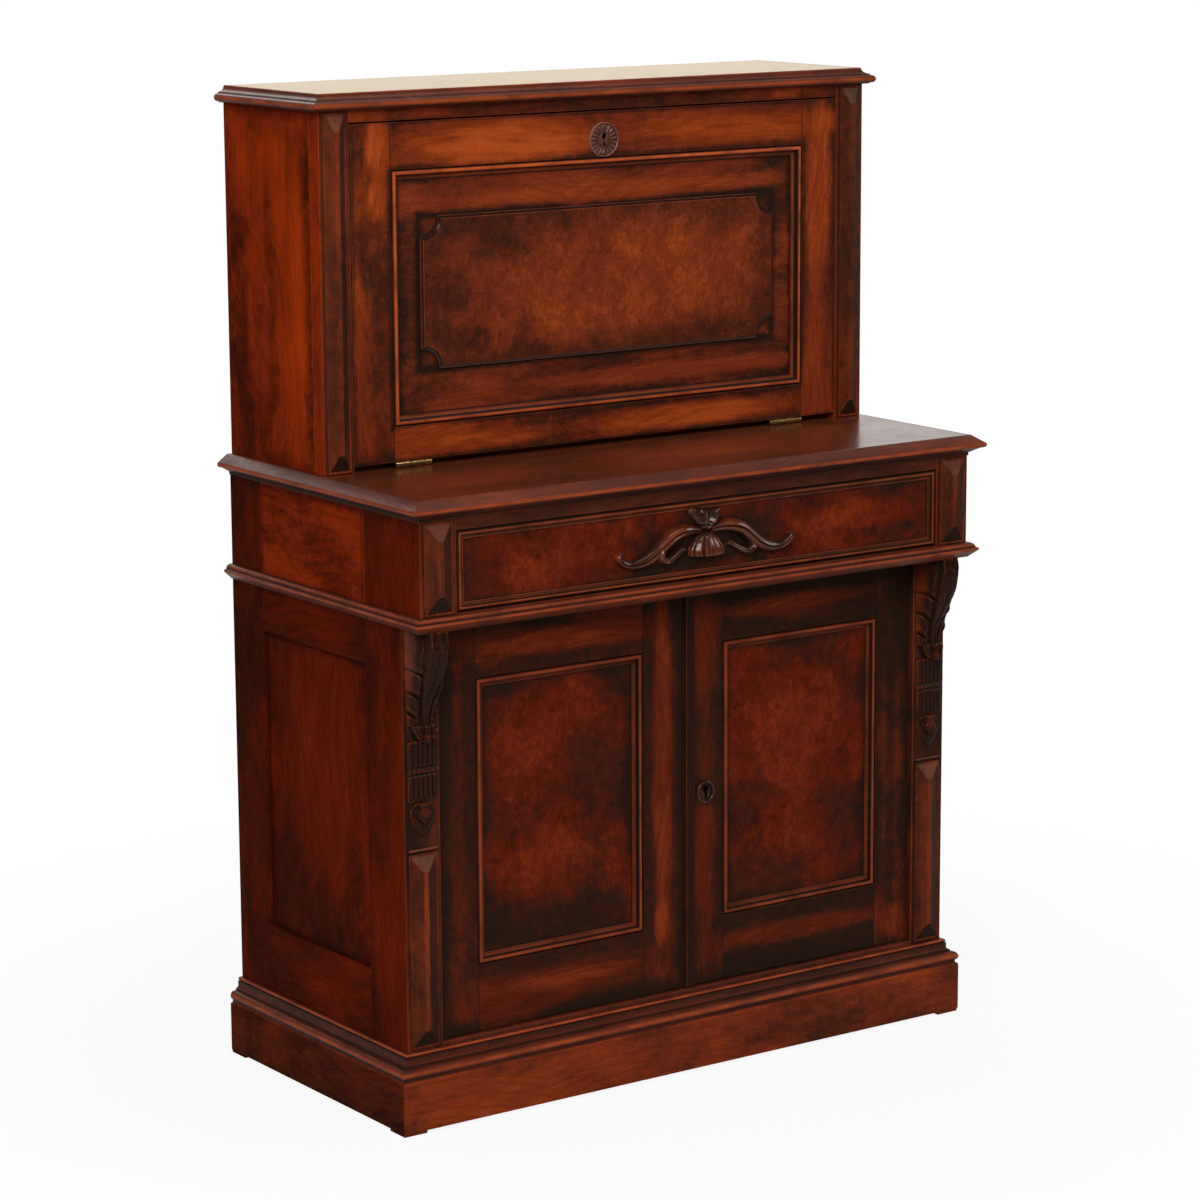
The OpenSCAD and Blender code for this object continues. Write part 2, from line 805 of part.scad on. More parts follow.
module gallery() color(walnut) {
  wall = gallery_t / 2;
  bays = 5;
  pitch = (2 * upper_inner + gallery_t) / bays;
  slab(-upper_inner, upper_inner, gallery_d0, gallery_d1, deck_z, deck_z + gallery_t);
  slab(-upper_inner, upper_inner, gallery_d0, gallery_d1, top_deck_z, top_deck_z + gallery_t);
  both()
    slab(slot_w / 2, small_x0, gallery_d0, gallery_d1, bed_z, deck_z);
  for (i = [1:bays - 1])
    translate([-upper_inner - wall + i * pitch, 0, 0])
      slab(-wall, wall, gallery_d0, gallery_d1 - 4, deck_z + gallery_t, top_deck_z);
}

// Small drawer: front, sides, back, bottom and knob
module small_drawer() {
  x0 = small_x0 + small_gap;
  x1 = small_x1 - small_gap;
  z0 = bed_z + 0.3;
  z1 = deck_z - small_gap;
  d0 = gallery_d0 + 4;
  d1 = gallery_d1;
  front_t = 10;
  slab(x0, x1, d1 - front_t, d1, z0, z1);
  for (x = [x0, x1 - small_t])
    slab(x, x + small_t, d0, d1 - front_t, z0, z1 - 3);
  slab(x0 + small_t, x1 - small_t, d0, d0 + small_t, z0, z1 - 3);
  slab(x0 + small_t, x1 - small_t, d0 + small_t, d1 - front_t, z0 + 1, z0 + 5);
  translate([(x0 + x1) / 2, dy(d1), (z0 + z1) / 2])
    rotate([90, 0, 0])
      rotate_extrude() {
        square([knob_r * 0.45, 4]);
        intersection() {
          translate([0, 6.5])
            circle(knob_r);
          translate([0, 3])
            square([knob_r, 6]);
        }
      }
}

module right_small_drawer() color(walnut)
  small_drawer();

module left_small_drawer() color(walnut)
  mirror([1, 0, 0])
    small_drawer();

// Butt hinges of the fall: five knuckles, the odd ones fixed with the pin

knuckles = 5;
knuckle_gap = 0.25;
function knuckle_x0(i) = i * butt_l / knuckles + (i > 0 ? knuckle_gap / 2 : 0);
function knuckle_x1(i) = (i + 1) * butt_l / knuckles - (i < knuckles - 1 ? knuckle_gap / 2 : 0);

module at_butts()
  for (x = [-butt_x, butt_x])
    translate([x - butt_l / 2, dy(upper_d), hinge_z])
      children();

module knuckle_set(first, r)
  for (i = [first:2:knuckles - 1])
    translate([knuckle_x0(i), 0, 0])
      rotate([0, 90, 0])
        cylinder(r = r, h = knuckle_x1(i) - knuckle_x0(i));

// Space round the other leaf's knuckles
module knuckle_room(first)
  for (i = [first:2:knuckles - 1])
    translate([knuckle_x0(i) - knuckle_gap, 0, 0])
      rotate([0, 90, 0])
        cylinder(r = knuckle_r + 0.35, h = knuckle_x1(i) - knuckle_x0(i) + 2 * knuckle_gap);

module fall_hinge_plates() color(brass)
  at_butts() {
    difference() {
      translate([0, 0, z_top - hinge_z])
        cube([butt_l, fall_t - 1.5, leaf_t]);
      knuckle_room(1);
    }
    knuckle_set(0, knuckle_r);
    rotate([0, 90, 0])
      cylinder(r = pin_r, h = butt_l);
  }

module fall_hinge_leaves() color(brass)
  at_butts()
    difference() {
      union() {
        difference() {
          translate([0, 0, fall_z0 - hinge_z - leaf_t])
            cube([butt_l, fall_t - 1.5, leaf_t]);
          knuckle_room(0);
        }
        knuckle_set(1, knuckle_r);
      }
      translate([-1, 0, 0])
        rotate([0, 90, 0])
          cylinder(r = pin_r + pin_gap, h = butt_l + 2);
    }

// Fall

module fall_panel_solid(grow)
  slab(-field_half - groove - grow, field_half + groove + grow, upper_d - field_drop - panel_t - grow,
    upper_d - field_drop + grow, field_z0 - groove - grow, field_z1 + groove + grow);

lock_w = 64;
lock_h = 40;
lock_t = 11;

module fall_lock_body(grow)
  slab(-lock_w / 2 - grow, lock_w / 2 + grow, fall_back, fall_back + lock_t + grow, fall_z1 - lock_h - grow, fall_z1);

module fall_bolt_solid(grow)
  slab(-11 - grow, 11 + grow, fall_back + 4 - grow, fall_back + 10 + grow, fall_z1 - 20 - grow, fall_z1 - 0.3);

module fall_frame() color(walnut)
  difference() {
    union() {
      both()
        slab(field_half, fall_half, fall_back, upper_d, fall_z0, fall_z1);
      slab(-field_half, field_half, fall_back, upper_d, fall_z0, field_z0);
      slab(-field_half, field_half, fall_back, upper_d, field_z1, fall_z1);
    }
    fall_panel_solid(float_gap);
    fall_lock_body(0);
    keyhole(0, rosette_zc + key_d / 2, fall_back - 1, upper_d + 1);
  }

module fall_panel() color(dark_walnut)
  fall_panel_solid(0);

module fall_moulding() color(walnut)
  frame_round(-field_half, field_half, field_z0, field_z1, upper_d)
    panel_profile(fall_mould_w, field_drop, 2.7, 2.2);

module burl_outline(w, h, r)
  difference() {
    square([w, h], center = true);
    for (x = [-w / 2, w / 2], y = [-h / 2, h / 2])
      translate([x, y])
        circle(r);
  }

// Raised panel in two steps, its corners notched by quarter rounds
module fall_burl_panel() color(burl) {
  w = 2 * (field_half - burl_side);
  z0 = field_z0 + burl_low;
  z1 = field_z1 - burl_top;
  face = field_drop - 2.5;
  translate([0, dy(upper_d - field_drop), (z0 + z1) / 2])
    rotate([90, 0, 0]) {
      linear_extrude(face - 1.8)
        burl_outline(w, z1 - z0, burl_notch);
      linear_extrude(face)
        burl_outline(w - 7, z1 - z0 - 7, burl_notch);
    }
}

// Leather let into the inner side, over the panel and level with the frame's back
module fall_lining() color(hide)
  slab(-field_half, field_half, fall_back, fall_back + lining_t, field_z0, field_z1);

// The panel's backing fills the space between the panel and the leather
module lining_board()
  slab(-field_half, field_half, fall_back + lining_t, upper_d - field_drop - panel_t, field_z0, field_z1);

module fall_lock() color(brass)
  difference() {
    fall_lock_body(0);
    fall_bolt_solid(0.2);
    slab(-11.2, 11.2, fall_back + 3.8, fall_back + 10.2, fall_z1 - 1, fall_z1 + 1);
    keyhole(0, rosette_zc + key_d / 2, fall_back - 1, fall_back + lock_t + 1);
  }

module fall_lock_bolt() color(brass)
  difference() {
    fall_bolt_solid(0);
    keyhole(0, rosette_zc + key_d / 2 + 1, fall_back - 1, fall_back + lock_t + 1);
  }

// Round rosette: a rim, a hollow and twenty reeds round a plain boss
module rosette() {
  r = rosette_d / 2;
  rotate_extrude() {
    difference() {
      square([r - 1, 2]);
      translate([r - 10, 6.2])
        circle(5);
    }
    translate([r - 1.2, 1.2])
      circle(1.2);
    square([r - 1.2, 1]);
  }
  cylinder(r = 7, h = 2.6);
  for (i = [0:19])
    rotate(i * 18)
      translate([8.2, 0, 1.4])
        rotate([0, 90, 0])
          cylinder(r = 1.15, h = r - 11.4, $fn = 16);
}

module fall_rosette() color(dark_walnut)
  difference() {
    translate([0, dy(upper_d), rosette_zc])
      rotate([90, 0, 0])
        intersection() {
          rosette();
          translate([-rosette_d, -rosette_z, -1])
            cube([2 * rosette_d, 2 * rosette_d, 8]);
        }
    keyhole(0, rosette_zc + key_d / 2, upper_d - 1, upper_d + 8);
  }

// Main drawer: front, field moulding, box with lapped dovetails, bottom and carved pull

module dovetails(x) {
  side_h = drawer_z1 - 6 - drawer_z0 - side_low;
  pitch = side_h / 3;
  for (i = [0:2])
    translate([x, dy(drawer_inner), drawer_z0 + side_low + (i + 0.5) * pitch])
      rotate([90, 0, 90])
        linear_extrude(drawer_side_t)
          polygon([[0, -pitch * 0.24], [-lap, -pitch * 0.36], [-lap, pitch * 0.36], [0, pitch * 0.24]]);
}

module drawer_bottom_solid(grow)
  slab(-drawer_half + drawer_side_t - 5 - grow, drawer_half - drawer_side_t + 5 + grow, drawer_back - 1,
    drawer_inner + 5 + grow, drawer_z0 + 8 - grow, drawer_z0 + 8 + drawer_bottom_t + grow);

module drawer_front() color(burl)
  difference() {
    slab(-drawer_half, drawer_half, drawer_inner, drawer_face, drawer_z0, drawer_z1);
    both()
      dovetails(drawer_half - 0.5 - drawer_side_t);
    drawer_bottom_solid(float_gap);
  }

module drawer_box() color(pine)
  difference() {
    union() {
      both() {
        slab(drawer_half - 0.5 - drawer_side_t, drawer_half - 0.5, drawer_back, drawer_inner,
          drawer_z0 + side_low, drawer_z1 - 6);
        dovetails(drawer_half - 0.5 - drawer_side_t);
      }
      slab(-drawer_half + 0.5 + drawer_side_t, drawer_half - 0.5 - drawer_side_t, drawer_back, drawer_back + drawer_side_t,
        drawer_z0 + 8 + drawer_bottom_t + float_gap, drawer_z1 - 10);
    }
    drawer_bottom_solid(float_gap);
  }

module drawer_bottom() color(pine)
  drawer_bottom_solid(0);

module drawer_moulding() color(walnut)
  frame_round(-drawer_half, drawer_half, drawer_z0, drawer_z1, section_d - 0.5)
    panel_profile(drawer_mould_w, drawer_field - 0.5, 1.9, 0.5);

// One side of the pull: an arching stem that curls under, and a tail that turns up
module pull_arm(k) {
  arch = arc([29, -28.3] * k, 42.5 * k, 120, 40, 8);
  curl = arc([51.6, -9.4] * k, 13 * k, 30, -150, 9);
  tip = arc([33.8, -19.4] * k, 7.6 * k, 20, 130, 5);
  stem = concat(arch, curl, tip);
  tail = concat(arc([29, -28.3] * k, 42.5 * k, 100, 48, 5), arc([106, -1] * k, 25 * k, 222, 345, 10));
  band(stem, k * swell(len(stem), 3.4, 6.2, 2.4), k * swell(len(stem), 7, 10, 5), 0);
  band(tail, k * swell(len(tail), 4.6, 6.6, 3), k * swell(len(tail), 7, 9, 6), 0.3 * k);
}

// Ribbed fruit, flat at the back, with its ribs meeting at the stalk
module fruit(k) {
  ribs = 7;
  base = 0.6 * k;
  relief(28, 12, function(u, v) let (
      a = 90 * u,
      fall = 0.2 + 0.8 * sqrt(sin(180 * (0.02 + 0.86 * v))),
      rib = 1 - 0.12 * pow(abs(cos(ribs * a)), 3))
    [27 * k * sin(a) * fall, -base - (pull_out - base) * cos(a) * fall * rib, k * (3 * cos(a) * (1 - v) - 30 * v)]);
}

module bud_leaf(lean, k, lift)
  band([for (i = [0:6]) let (t = i / 6) k * [lean * 19 * pow(t, 1.25), 26 * t - 5 * t * t]],
    k * swell(7, 2.5, 7.5, 1), k * swell(7, 6, 9, 4), k * lift);

module drawer_pull() color(walnut) {
  k = pull_half / 131;
  translate([0, dy(drawer_face), z_divider + 0.52 * drawer_h]) {
    both()
      pull_arm(k);
    translate([0, 0, 4 * k])
      fruit(k);
    translate([-3 * k, 0, 8 * k]) {
      bud_leaf(-1, k, 0.2);
      translate([0.7 * k, 0, 0.3 * k])
        bud_leaf(1, k, 0.5);
    }
  }
}

// Doors on brass pivots let into the floor, the divider and the door edges

module pivot_outline()
  translate([open_half - pivot_l, dy(pivot_front)])
    square([pivot_l, pivot_w]);

module door_pivot_outline()
  translate([door_x1 - pivot_l, dy(pivot_front)])
    square([pivot_l, pivot_w]);

module pivot_pins(r, reach)
  for (z = [z_floor - 0.01, z_soffit + 0.01 - reach])
    translate([pivot_x, dy(pivot_d), z])
      cylinder(r = r, h = reach);

module pivot_plates() color(brass)
  both() {
    translate([0, 0, z_floor - pivot_plate_t])
      linear_extrude(pivot_plate_t)
        pivot_outline();
    translate([0, 0, z_soffit])
      linear_extrude(pivot_plate_t)
        pivot_outline();
    pivot_pins(pivot_r, 9);
  }

module door_plates() {
  for (z = [door_z0, door_z1 - pivot_plate_t])
    translate([0, 0, z])
      linear_extrude(pivot_plate_t)
        door_pivot_outline();
}

module door_pivots()
  difference() {
    door_plates();
    pivot_pins(pivot_r + pin_gap, 30);
  }

module left_door_pivots() color(brass)
  mirror([1, 0, 0])
    door_pivots();

module door_panel_solid(grow)
  slab(door_px0 - groove - grow, door_px1 + groove + grow, door_face - 7 - panel_t - grow, door_face - 7 + grow,
    door_pz0 - groove - grow, door_pz1 + groove + grow);

module door_frame_solid()
  difference() {
    union() {
      for (x = [[door_x0, door_px0], [door_px1, door_x1]])
        slab(x[0], x[1], door_back, door_face, door_z0, door_z1);
      slab(door_px0, door_px1, door_back, door_face, door_z0, door_pz0);
      slab(door_px0, door_px1, door_back, door_face, door_pz1, door_z1);
    }
    door_panel_solid(float_gap);
    door_plates();
    pivot_pins(pivot_r + 0.5, 11);
  }

module door_moulding_solid()
  frame_round(door_px0, door_px1, door_pz0, door_pz1, door_face)
    panel_profile(door_mould_w, 7, 2.4, 1.6);

module right_bolt_solid(grow)
  slab(door_x0 + 0.2, door_x0 + 20 + grow, door_back + 3 - grow, door_back + 9 + grow, lock_z - 9 - grow, lock_z + 9 + grow);

module right_lock_body(grow)
  slab(door_x0, door_x0 + 42, door_back, door_back + 11 + grow, lock_z - 26 - grow, lock_z + 26 + grow);

module right_door_frame() color(walnut)
  difference() {
    door_frame_solid();
    right_lock_body(0);
    keyhole(lock_x, lock_z + key_d / 2, door_back - 1, door_face + 1);
  }

module left_door_frame() color(walnut)
  difference() {
    mirror([1, 0, 0])
      door_frame_solid();
    slab(-door_x0 - door_bolt_travel - 3, -door_x0 + 1, door_back + 2, door_back + 10, lock_z - 10.5, lock_z + 10.5);
  }

module right_door_panel() color(burl)
  door_panel_solid(0);

module left_door_panel() color(burl)
  mirror([1, 0, 0])
    door_panel_solid(0);

module right_door_moulding() color(walnut)
  door_moulding_solid();

module left_door_moulding() color(walnut)
  mirror([1, 0, 0])
    door_moulding_solid();

// Pivots, meeting bead and oval escutcheon of the right door
module right_door_fittings() color(dark_walnut) {
  door_pivots();
  translate([door_x0, dy(door_face), door_z0])
    rotate([0, 0, 0])
      linear_extrude(door_z1 - door_z0)
        intersection() {
          translate([bead_w / 2, 0])
            circle(bead_w / 2);
          translate([0, -4.5])
            square([bead_w, 4.5]);
        }
  difference() {
    translate([lock_x, dy(door_face), lock_z])
      rotate([90, 0, 0])
        intersection() {
          linear_extrude(3)
            intersection_for(s = [-1, 1])
              translate([s * 5.6, 0])
                circle(19.5);
          translate([0, 0, -37])
            sphere(40, $fn = 96);
        }
    keyhole(lock_x, lock_z + key_d / 2, door_face - 1, door_face + 8);
  }
}

module door_lock() color(brass)
  difference() {
    right_lock_body(0);
    right_bolt_solid(0.2);
    slab(door_x0 - 1, door_x0 + 1, door_back + 2.8, door_back + 9.2, lock_z - 9.2, lock_z + 9.2);
    keyhole(lock_x, lock_z + key_d / 2, door_back - 1, door_back + 12);
  }

module door_lock_bolt() color(brass)
  right_bolt_solid(0);

// Bolt behind the left door: a rod in a plate with two guide loops, shot up into the divider

function flush_x() = door_x0 + meet_stile / 2;
flush_r = 3.5;

module flush_socket(lift) {
  half = flush_r + 1.2;
  d = door_back - 6;
  translate([0, 0, lift])
    slab(-flush_x() - half, -flush_x() + half, d - half, d + half, z_soffit - 1, z_soffit + flush_bolt_travel + 2);
}

module flush_bolt_plate() color(brass) {
  z1 = door_z1 - 4;
  z0 = z1 - 100;
  slab(-flush_x() - 11, -flush_x() + 11, door_back - 1.5, door_back, z0, z1);
  for (z = [z0 + 8, z1 - 20])
    difference() {
      slab(-flush_x() - 7, -flush_x() + 7, door_back - 11.5, door_back - 1.5, z, z + 12);
      translate([-flush_x(), dy(door_back - 6), z - 1])
        cylinder(r = flush_r + pin_gap, h = 14);
    }
}

module flush_bolt() color(brass) {
  translate([-flush_x(), dy(door_back - 6), door_z1 - 100])
    cylinder(r = flush_r, h = 99);
  translate([-flush_x(), dy(door_back - 9), door_z1 - 58])
    sphere(5.5);
}

foot_blocks();
plinth();
base_moulding();
bottom_board();
front_posts();
rear_posts();
side_rails();
side_panels();
hipped_strips();
left_corbel();
right_corbel();
divider_board();
mid_moulding();
drawer_blocks();
drawer_section_sides();
drawer_rail();
inner_battens();
lower_back();
cupboard_shelf();
desk_ledge();
ledge_moulding();
upper_sides();
pilasters();
top_rail();
cap_board();
cap_moulding();
upper_back();
writing_bed();
gallery();
fall_hinge_plates();
pivot_plates();
fall_frame();
fall_panel();
fall_moulding();
fall_burl_panel();
fall_lining();
fall_lock();
fall_rosette();
fall_hinge_leaves();
fall_lock_bolt();
drawer_front();
drawer_box();
drawer_bottom();
drawer_moulding();
drawer_pull();
left_door_frame();
left_door_panel();
left_door_moulding();
left_door_pivots();
flush_bolt_plate();
flush_bolt();
right_door_frame();
right_door_panel();
right_door_moulding();
right_door_fittings();
door_lock();
door_lock_bolt();
left_small_drawer();
right_small_drawer();
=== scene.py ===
import json
import math

import bpy
import numpy as np
from mathutils import Matrix, Vector

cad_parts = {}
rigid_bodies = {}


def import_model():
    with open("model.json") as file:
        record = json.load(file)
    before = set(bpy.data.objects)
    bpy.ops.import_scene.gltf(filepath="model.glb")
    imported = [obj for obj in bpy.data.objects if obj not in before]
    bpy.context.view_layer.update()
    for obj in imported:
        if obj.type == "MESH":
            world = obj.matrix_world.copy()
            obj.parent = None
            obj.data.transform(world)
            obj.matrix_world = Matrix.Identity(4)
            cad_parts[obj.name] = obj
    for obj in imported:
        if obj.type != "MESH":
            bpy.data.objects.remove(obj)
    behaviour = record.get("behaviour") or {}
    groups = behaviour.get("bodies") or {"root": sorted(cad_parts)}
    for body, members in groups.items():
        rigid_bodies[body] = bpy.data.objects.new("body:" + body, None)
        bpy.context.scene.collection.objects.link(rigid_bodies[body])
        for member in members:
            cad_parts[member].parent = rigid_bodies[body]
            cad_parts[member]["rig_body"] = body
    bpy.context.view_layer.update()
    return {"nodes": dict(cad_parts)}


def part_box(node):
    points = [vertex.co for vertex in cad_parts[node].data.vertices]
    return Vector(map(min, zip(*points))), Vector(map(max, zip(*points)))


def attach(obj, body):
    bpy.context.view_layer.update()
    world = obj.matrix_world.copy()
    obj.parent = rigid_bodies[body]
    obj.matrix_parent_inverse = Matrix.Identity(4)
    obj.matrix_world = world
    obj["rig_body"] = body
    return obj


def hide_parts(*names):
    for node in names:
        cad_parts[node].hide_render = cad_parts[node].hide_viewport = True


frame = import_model()
nodes = frame["nodes"]
scene = bpy.context.scene
mm = 0.001


def frontOf(name):
    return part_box(name)[0].y


# main planes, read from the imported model
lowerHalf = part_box("rear_posts")[1].x
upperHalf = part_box("pilasters")[1].x
postFace = frontOf("front_posts")
sectionFace = frontOf("drawer_blocks")
upperFace = frontOf("pilasters")
doorFace = frontOf("left_door_frame")
print("frame loaded:", len(nodes), "nodes")


def linked(name, data):
    thing = bpy.data.objects.new(name, data)
    scene.collection.objects.link(thing)
    return thing


def objectMode():
    bpy.ops.object.mode_set(mode="OBJECT")


def deselectAll():
    if bpy.context.mode != "OBJECT":
        objectMode()
    bpy.ops.object.select_all(action="DESELECT")


def pick(*things):
    deselectAll()
    for thing in things:
        thing.select_set(True)
    bpy.context.view_layer.objects.active = things[0]


def editAll(thing):
    if thing.mode != "EDIT":
        pick(thing)
        bpy.ops.object.mode_set(mode="EDIT")
    bpy.ops.mesh.select_all(action="SELECT")


def applyAll(thing):
    pick(thing)
    for modifier in list(thing.modifiers):
        bpy.ops.object.modifier_apply(modifier=modifier.name)


def settle(thing):
    pick(thing)
    bpy.ops.object.transform_apply(location=True, rotation=True, scale=True)


def moved(thing, x=0.0, y=0.0, z=0.0):
    thing.location = (x, y, z)
    settle(thing)
    return thing


def joined(name, things):
    pick(*things)
    bpy.ops.object.join()
    things[0].name = name
    return things[0]


def smooth(thing, angle):
    pick(thing)
    bpy.ops.object.shade_smooth_by_angle(angle=math.radians(angle))


def place(thing, body, *replaced, slot=None):
    thing.parent = None
    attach(thing, body)
    if replaced:
        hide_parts(*replaced)
    return thing


# what the wood reads from a mesh: the grain's own space, worn edges with some painted highlights, and grime with
# painted shade

def readAll(items, field, width=1, kind=float):
    values = np.zeros(len(items) * width, kind)
    items.foreach_get(field, values)
    return values.reshape(-1, width) if width > 1 else values


def cornerData(mesh):
    # for each corner of a face its point's number and place and its face's number, then the faces' middles
    loops = readAll(mesh.loops, "vertex_index", kind=np.int32)
    spots = readAll(mesh.vertices, "co", 3)[loops]
    totals = readAll(mesh.polygons, "loop_total", kind=np.int32)
    return loops, spots, np.repeat(np.arange(len(totals)), totals), readAll(mesh.polygons, "center", 3)


def writeCorners(mesh, name, values, kind="FLOAT", field="value"):
    old = mesh.attributes.get(name)
    if old:
        mesh.attributes.remove(old)
    data = mesh.attributes.new(name, kind, "CORNER").data
    data.foreach_set(field, np.asarray(values, np.float32).ravel())


def boardOf(mesh):
    # the number of the loose part, or board, that each point belongs to
    parent = list(range(len(mesh.vertices)))

    def root(k):
        while parent[k] != k:
            parent[k] = parent[parent[k]]
            k = parent[k]
        return k

    for edge in mesh.edges:
        a, b = (root(k) for k in edge.vertices)
        parent[a] = b
    roots = [root(k) for k in range(len(parent))]
    order = {r: i for i, r in enumerate(sorted(set(roots)))}
    return np.array([order[r] for r in roots])


def setGrain(piece, axis, seed):
    # axis is x, y or z, or a function that gives 0, 1 or 2 for each face's middle
    mesh = piece.data
    loops, spots, face, middles = cornerData(mesh)
    along = axis(middles) if callable(axis) else np.full(len(middles), "xyz".index(axis))
    along = np.asarray(along, np.int32)[face]
    board = boardOf(mesh)[loops]
    shift = np.random.default_rng(seed).uniform(0, 3, (board.max() + 1, 3))
    turned = np.empty_like(spots)
    for k, order in enumerate([(1, 2, 0), (0, 2, 1), (0, 1, 2)]):
        turned[along == k] = spots[along == k][:, order]
    turned += shift[board] + along[:, None] * 0.37  # no two boards share a figure
    writeCorners(mesh, "grain", turned, "FLOAT_VECTOR", "vector")


def markSharp(mesh, short):
    # a bevel weight on each edge that turns by more than 35 degrees and isn't short
    weight = mesh.attributes.new("bevel_weight_edge", "FLOAT", "EDGE")
    touching = {}
    for face in mesh.polygons:
        for key in face.edge_keys:
            touching.setdefault(key, []).append(face.normal.copy())
    for edge in mesh.edges:
        pair = touching.get(edge.key, [])
        a, b = (mesh.vertices[k].co for k in edge.vertices)
        turn = pair[0].angle(pair[1], 0) if len(pair) == 2 else 0
        if (a - b).length > short * mm and turn > math.radians(35):
            weight.data[edge.index].value = 1


def dressed(name, ease=0.9, short=7, smoothTo=35, rubAt=0.4, cuts=()):
    # a closed copy of a CAD node with its arrises eased and rubbed; cuts are (axis, place) for joint lines
    source = nodes[name]
    piece = linked(name.replace("_", "-") + "-dressed", source.data.copy())
    editAll(piece)
    bpy.ops.mesh.remove_doubles(threshold=0.00001)
    bpy.ops.mesh.customdata_custom_splitnormals_clear()
    bpy.ops.mesh.dissolve_limited(angle_limit=math.radians(0.4))
    for axis, at in cuts:
        bpy.ops.mesh.select_all(action="SELECT")
        facing = [float(k == axis) for k in "xyz"]
        bpy.ops.mesh.bisect(plane_co=[at * k for k in facing], plane_no=facing)
    objectMode()
    piece.data.materials.clear()
    if ease:
        markSharp(piece.data, short)
        for marked in range(2):  # the bevel's own faces take the second place
            piece.data.materials.append(None)
        bevel = piece.modifiers.new("ease", "BEVEL")
        bevel.limit_method = "WEIGHT"
        bevel.width = ease * mm
        bevel.segments = 2
        bevel.material = 1
        applyAll(piece)
    smooth(piece, smoothTo)
    piece.modifiers.new("evened", "WEIGHTED_NORMAL").keep_sharp = True
    applyAll(piece)
    mesh = piece.data
    face = cornerData(mesh)[2]
    eased = readAll(mesh.polygons, "material_index", kind=np.int32)
    writeCorners(mesh, "wearAndHighlight", eased[face] * rubAt)
    writeCorners(mesh, "grimeAndShade", np.zeros(len(face)))
    mesh.polygons.foreach_set("material_index", np.zeros(len(eased), np.int32))
    mesh.materials.clear()
    return place(piece, source["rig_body"], name)


class Tree:
    # a node tree that is built by plain calls; a value is a socket, a number or a tuple
    def __init__(self, tree):
        self.tree = tree

    def add(self, kind, **values):
        node = self.tree.nodes.new(kind)
        for key, value in values.items():
            setattr(node, key, value)
        return node

    def feed(self, socket, value):
        if isinstance(value, bpy.types.NodeSocket):
            self.tree.links.new(value, socket)
        elif socket.type == "RGBA":
            socket.default_value = (*value, 1)
        else:
            socket.default_value = value

    def feedAll(self, node, values):
        for key, value in values.items():
            self.feed(node.inputs[key], value)
        return node

    def math(self, operation, *values, clamp=False):
        node = self.add("ShaderNodeMath", operation=operation, use_clamp=clamp)
        return self.feedAll(node, dict(enumerate(values))).outputs[0]

    def plus(self, first, *others):
        for other in others:
            first = self.math("ADD", first, other)
        return first

    def times(self, first, *others):
        for other in others:
            first = self.math("MULTIPLY", first, other)
        return first

    def minus(self, a, b):
        return self.math("SUBTRACT", a, b)

    def apart(self, a, b):
        return self.math("ABSOLUTE", self.minus(a, b))

    def fromEdge(self, across, up, middleAcross, middleUp, halfAcross, halfUp):
        # how far a point is from the edge of a rectangle
        a = self.minus(self.apart(across, middleAcross), halfAcross)
        u = self.minus(self.apart(up, middleUp), halfUp)
        return self.math("ABSOLUTE", self.math("MAXIMUM", a, u))

    def step(self, value, low, high, first=0.0, last=1.0):
        node = self.add("ShaderNodeMapRange", interpolation_type="SMOOTHSTEP")
        return self.feedAll(node, dict(enumerate((value, low, high, first, last)))).outputs[0]

    def mix(self, amount, a, b):
        node = self.add("ShaderNodeMix", data_type="RGBA")
        return self.feedAll(node, {"Factor": amount, 6: a, 7: b}).outputs[2]

    def scaled(self, vector, scale, location=(0, 0, 0)):
        node = self.add("ShaderNodeMapping")
        return self.feedAll(node, {"Vector": vector, "Scale": scale, "Location": location}).outputs[0]

    def noise(self, vector, scale, detail=2.0, rough=0.5, warp=0.0):
        # a scale of three numbers stretches the pattern
        if isinstance(scale, tuple):
            vector, scale = self.scaled(vector, scale), 1.0
        return self.feedAll(self.add("ShaderNodeTexNoise"), {"Vector": vector, "Scale": scale, "Detail": detail,
                            "Roughness": rough, "Distortion": warp}).outputs["Fac"]

    def cells(self, vector, scale, feature):
        node = self.add("ShaderNodeTexVoronoi", feature=feature)
        return self.feedAll(node, {"Vector": vector, "Scale": scale}).outputs["Distance"]

    def split(self, vector):
        return self.feedAll(self.add("ShaderNodeSeparateXYZ"), {0: vector}).outputs

    def attribute(self, name, output="Fac"):
        return self.add("ShaderNodeAttribute", attribute_name=name).outputs[output]

    def relief(self, height, strength, distance):
        values = {"Height": height, "Strength": strength, "Distance": distance}
        return self.feedAll(self.add("ShaderNodeBump"), values).outputs["Normal"]

    def use(self, group, values):
        return self.feedAll(self.add("ShaderNodeGroup", node_tree=group), values).outputs


def newMaterial(name):
    material = bpy.data.materials.new(name)
    material.use_nodes = True
    t = Tree(material.node_tree)
    where = t.add("ShaderNodeTexCoord").outputs["Object"]
    return material, t, material.node_tree.nodes["Principled BSDF"], where


def newGroup(name, inputs, outputs):
    # an input gives its default number, or the kind of its socket; an output gives its kind
    group = bpy.data.node_groups.new(name, "ShaderNodeTree")
    for side, sockets in (("INPUT", inputs), ("OUTPUT", outputs)):
        for key, value in sockets.items():
            kind = value if isinstance(value, str) else "Float"
            socket = group.interface.new_socket(key, in_out=side, socket_type="NodeSocket" + kind)
            if kind != value:
                socket.default_value = value
    t = Tree(group)
    return group, t, t.add("NodeGroupInput").outputs, t.add("NodeGroupOutput").inputs


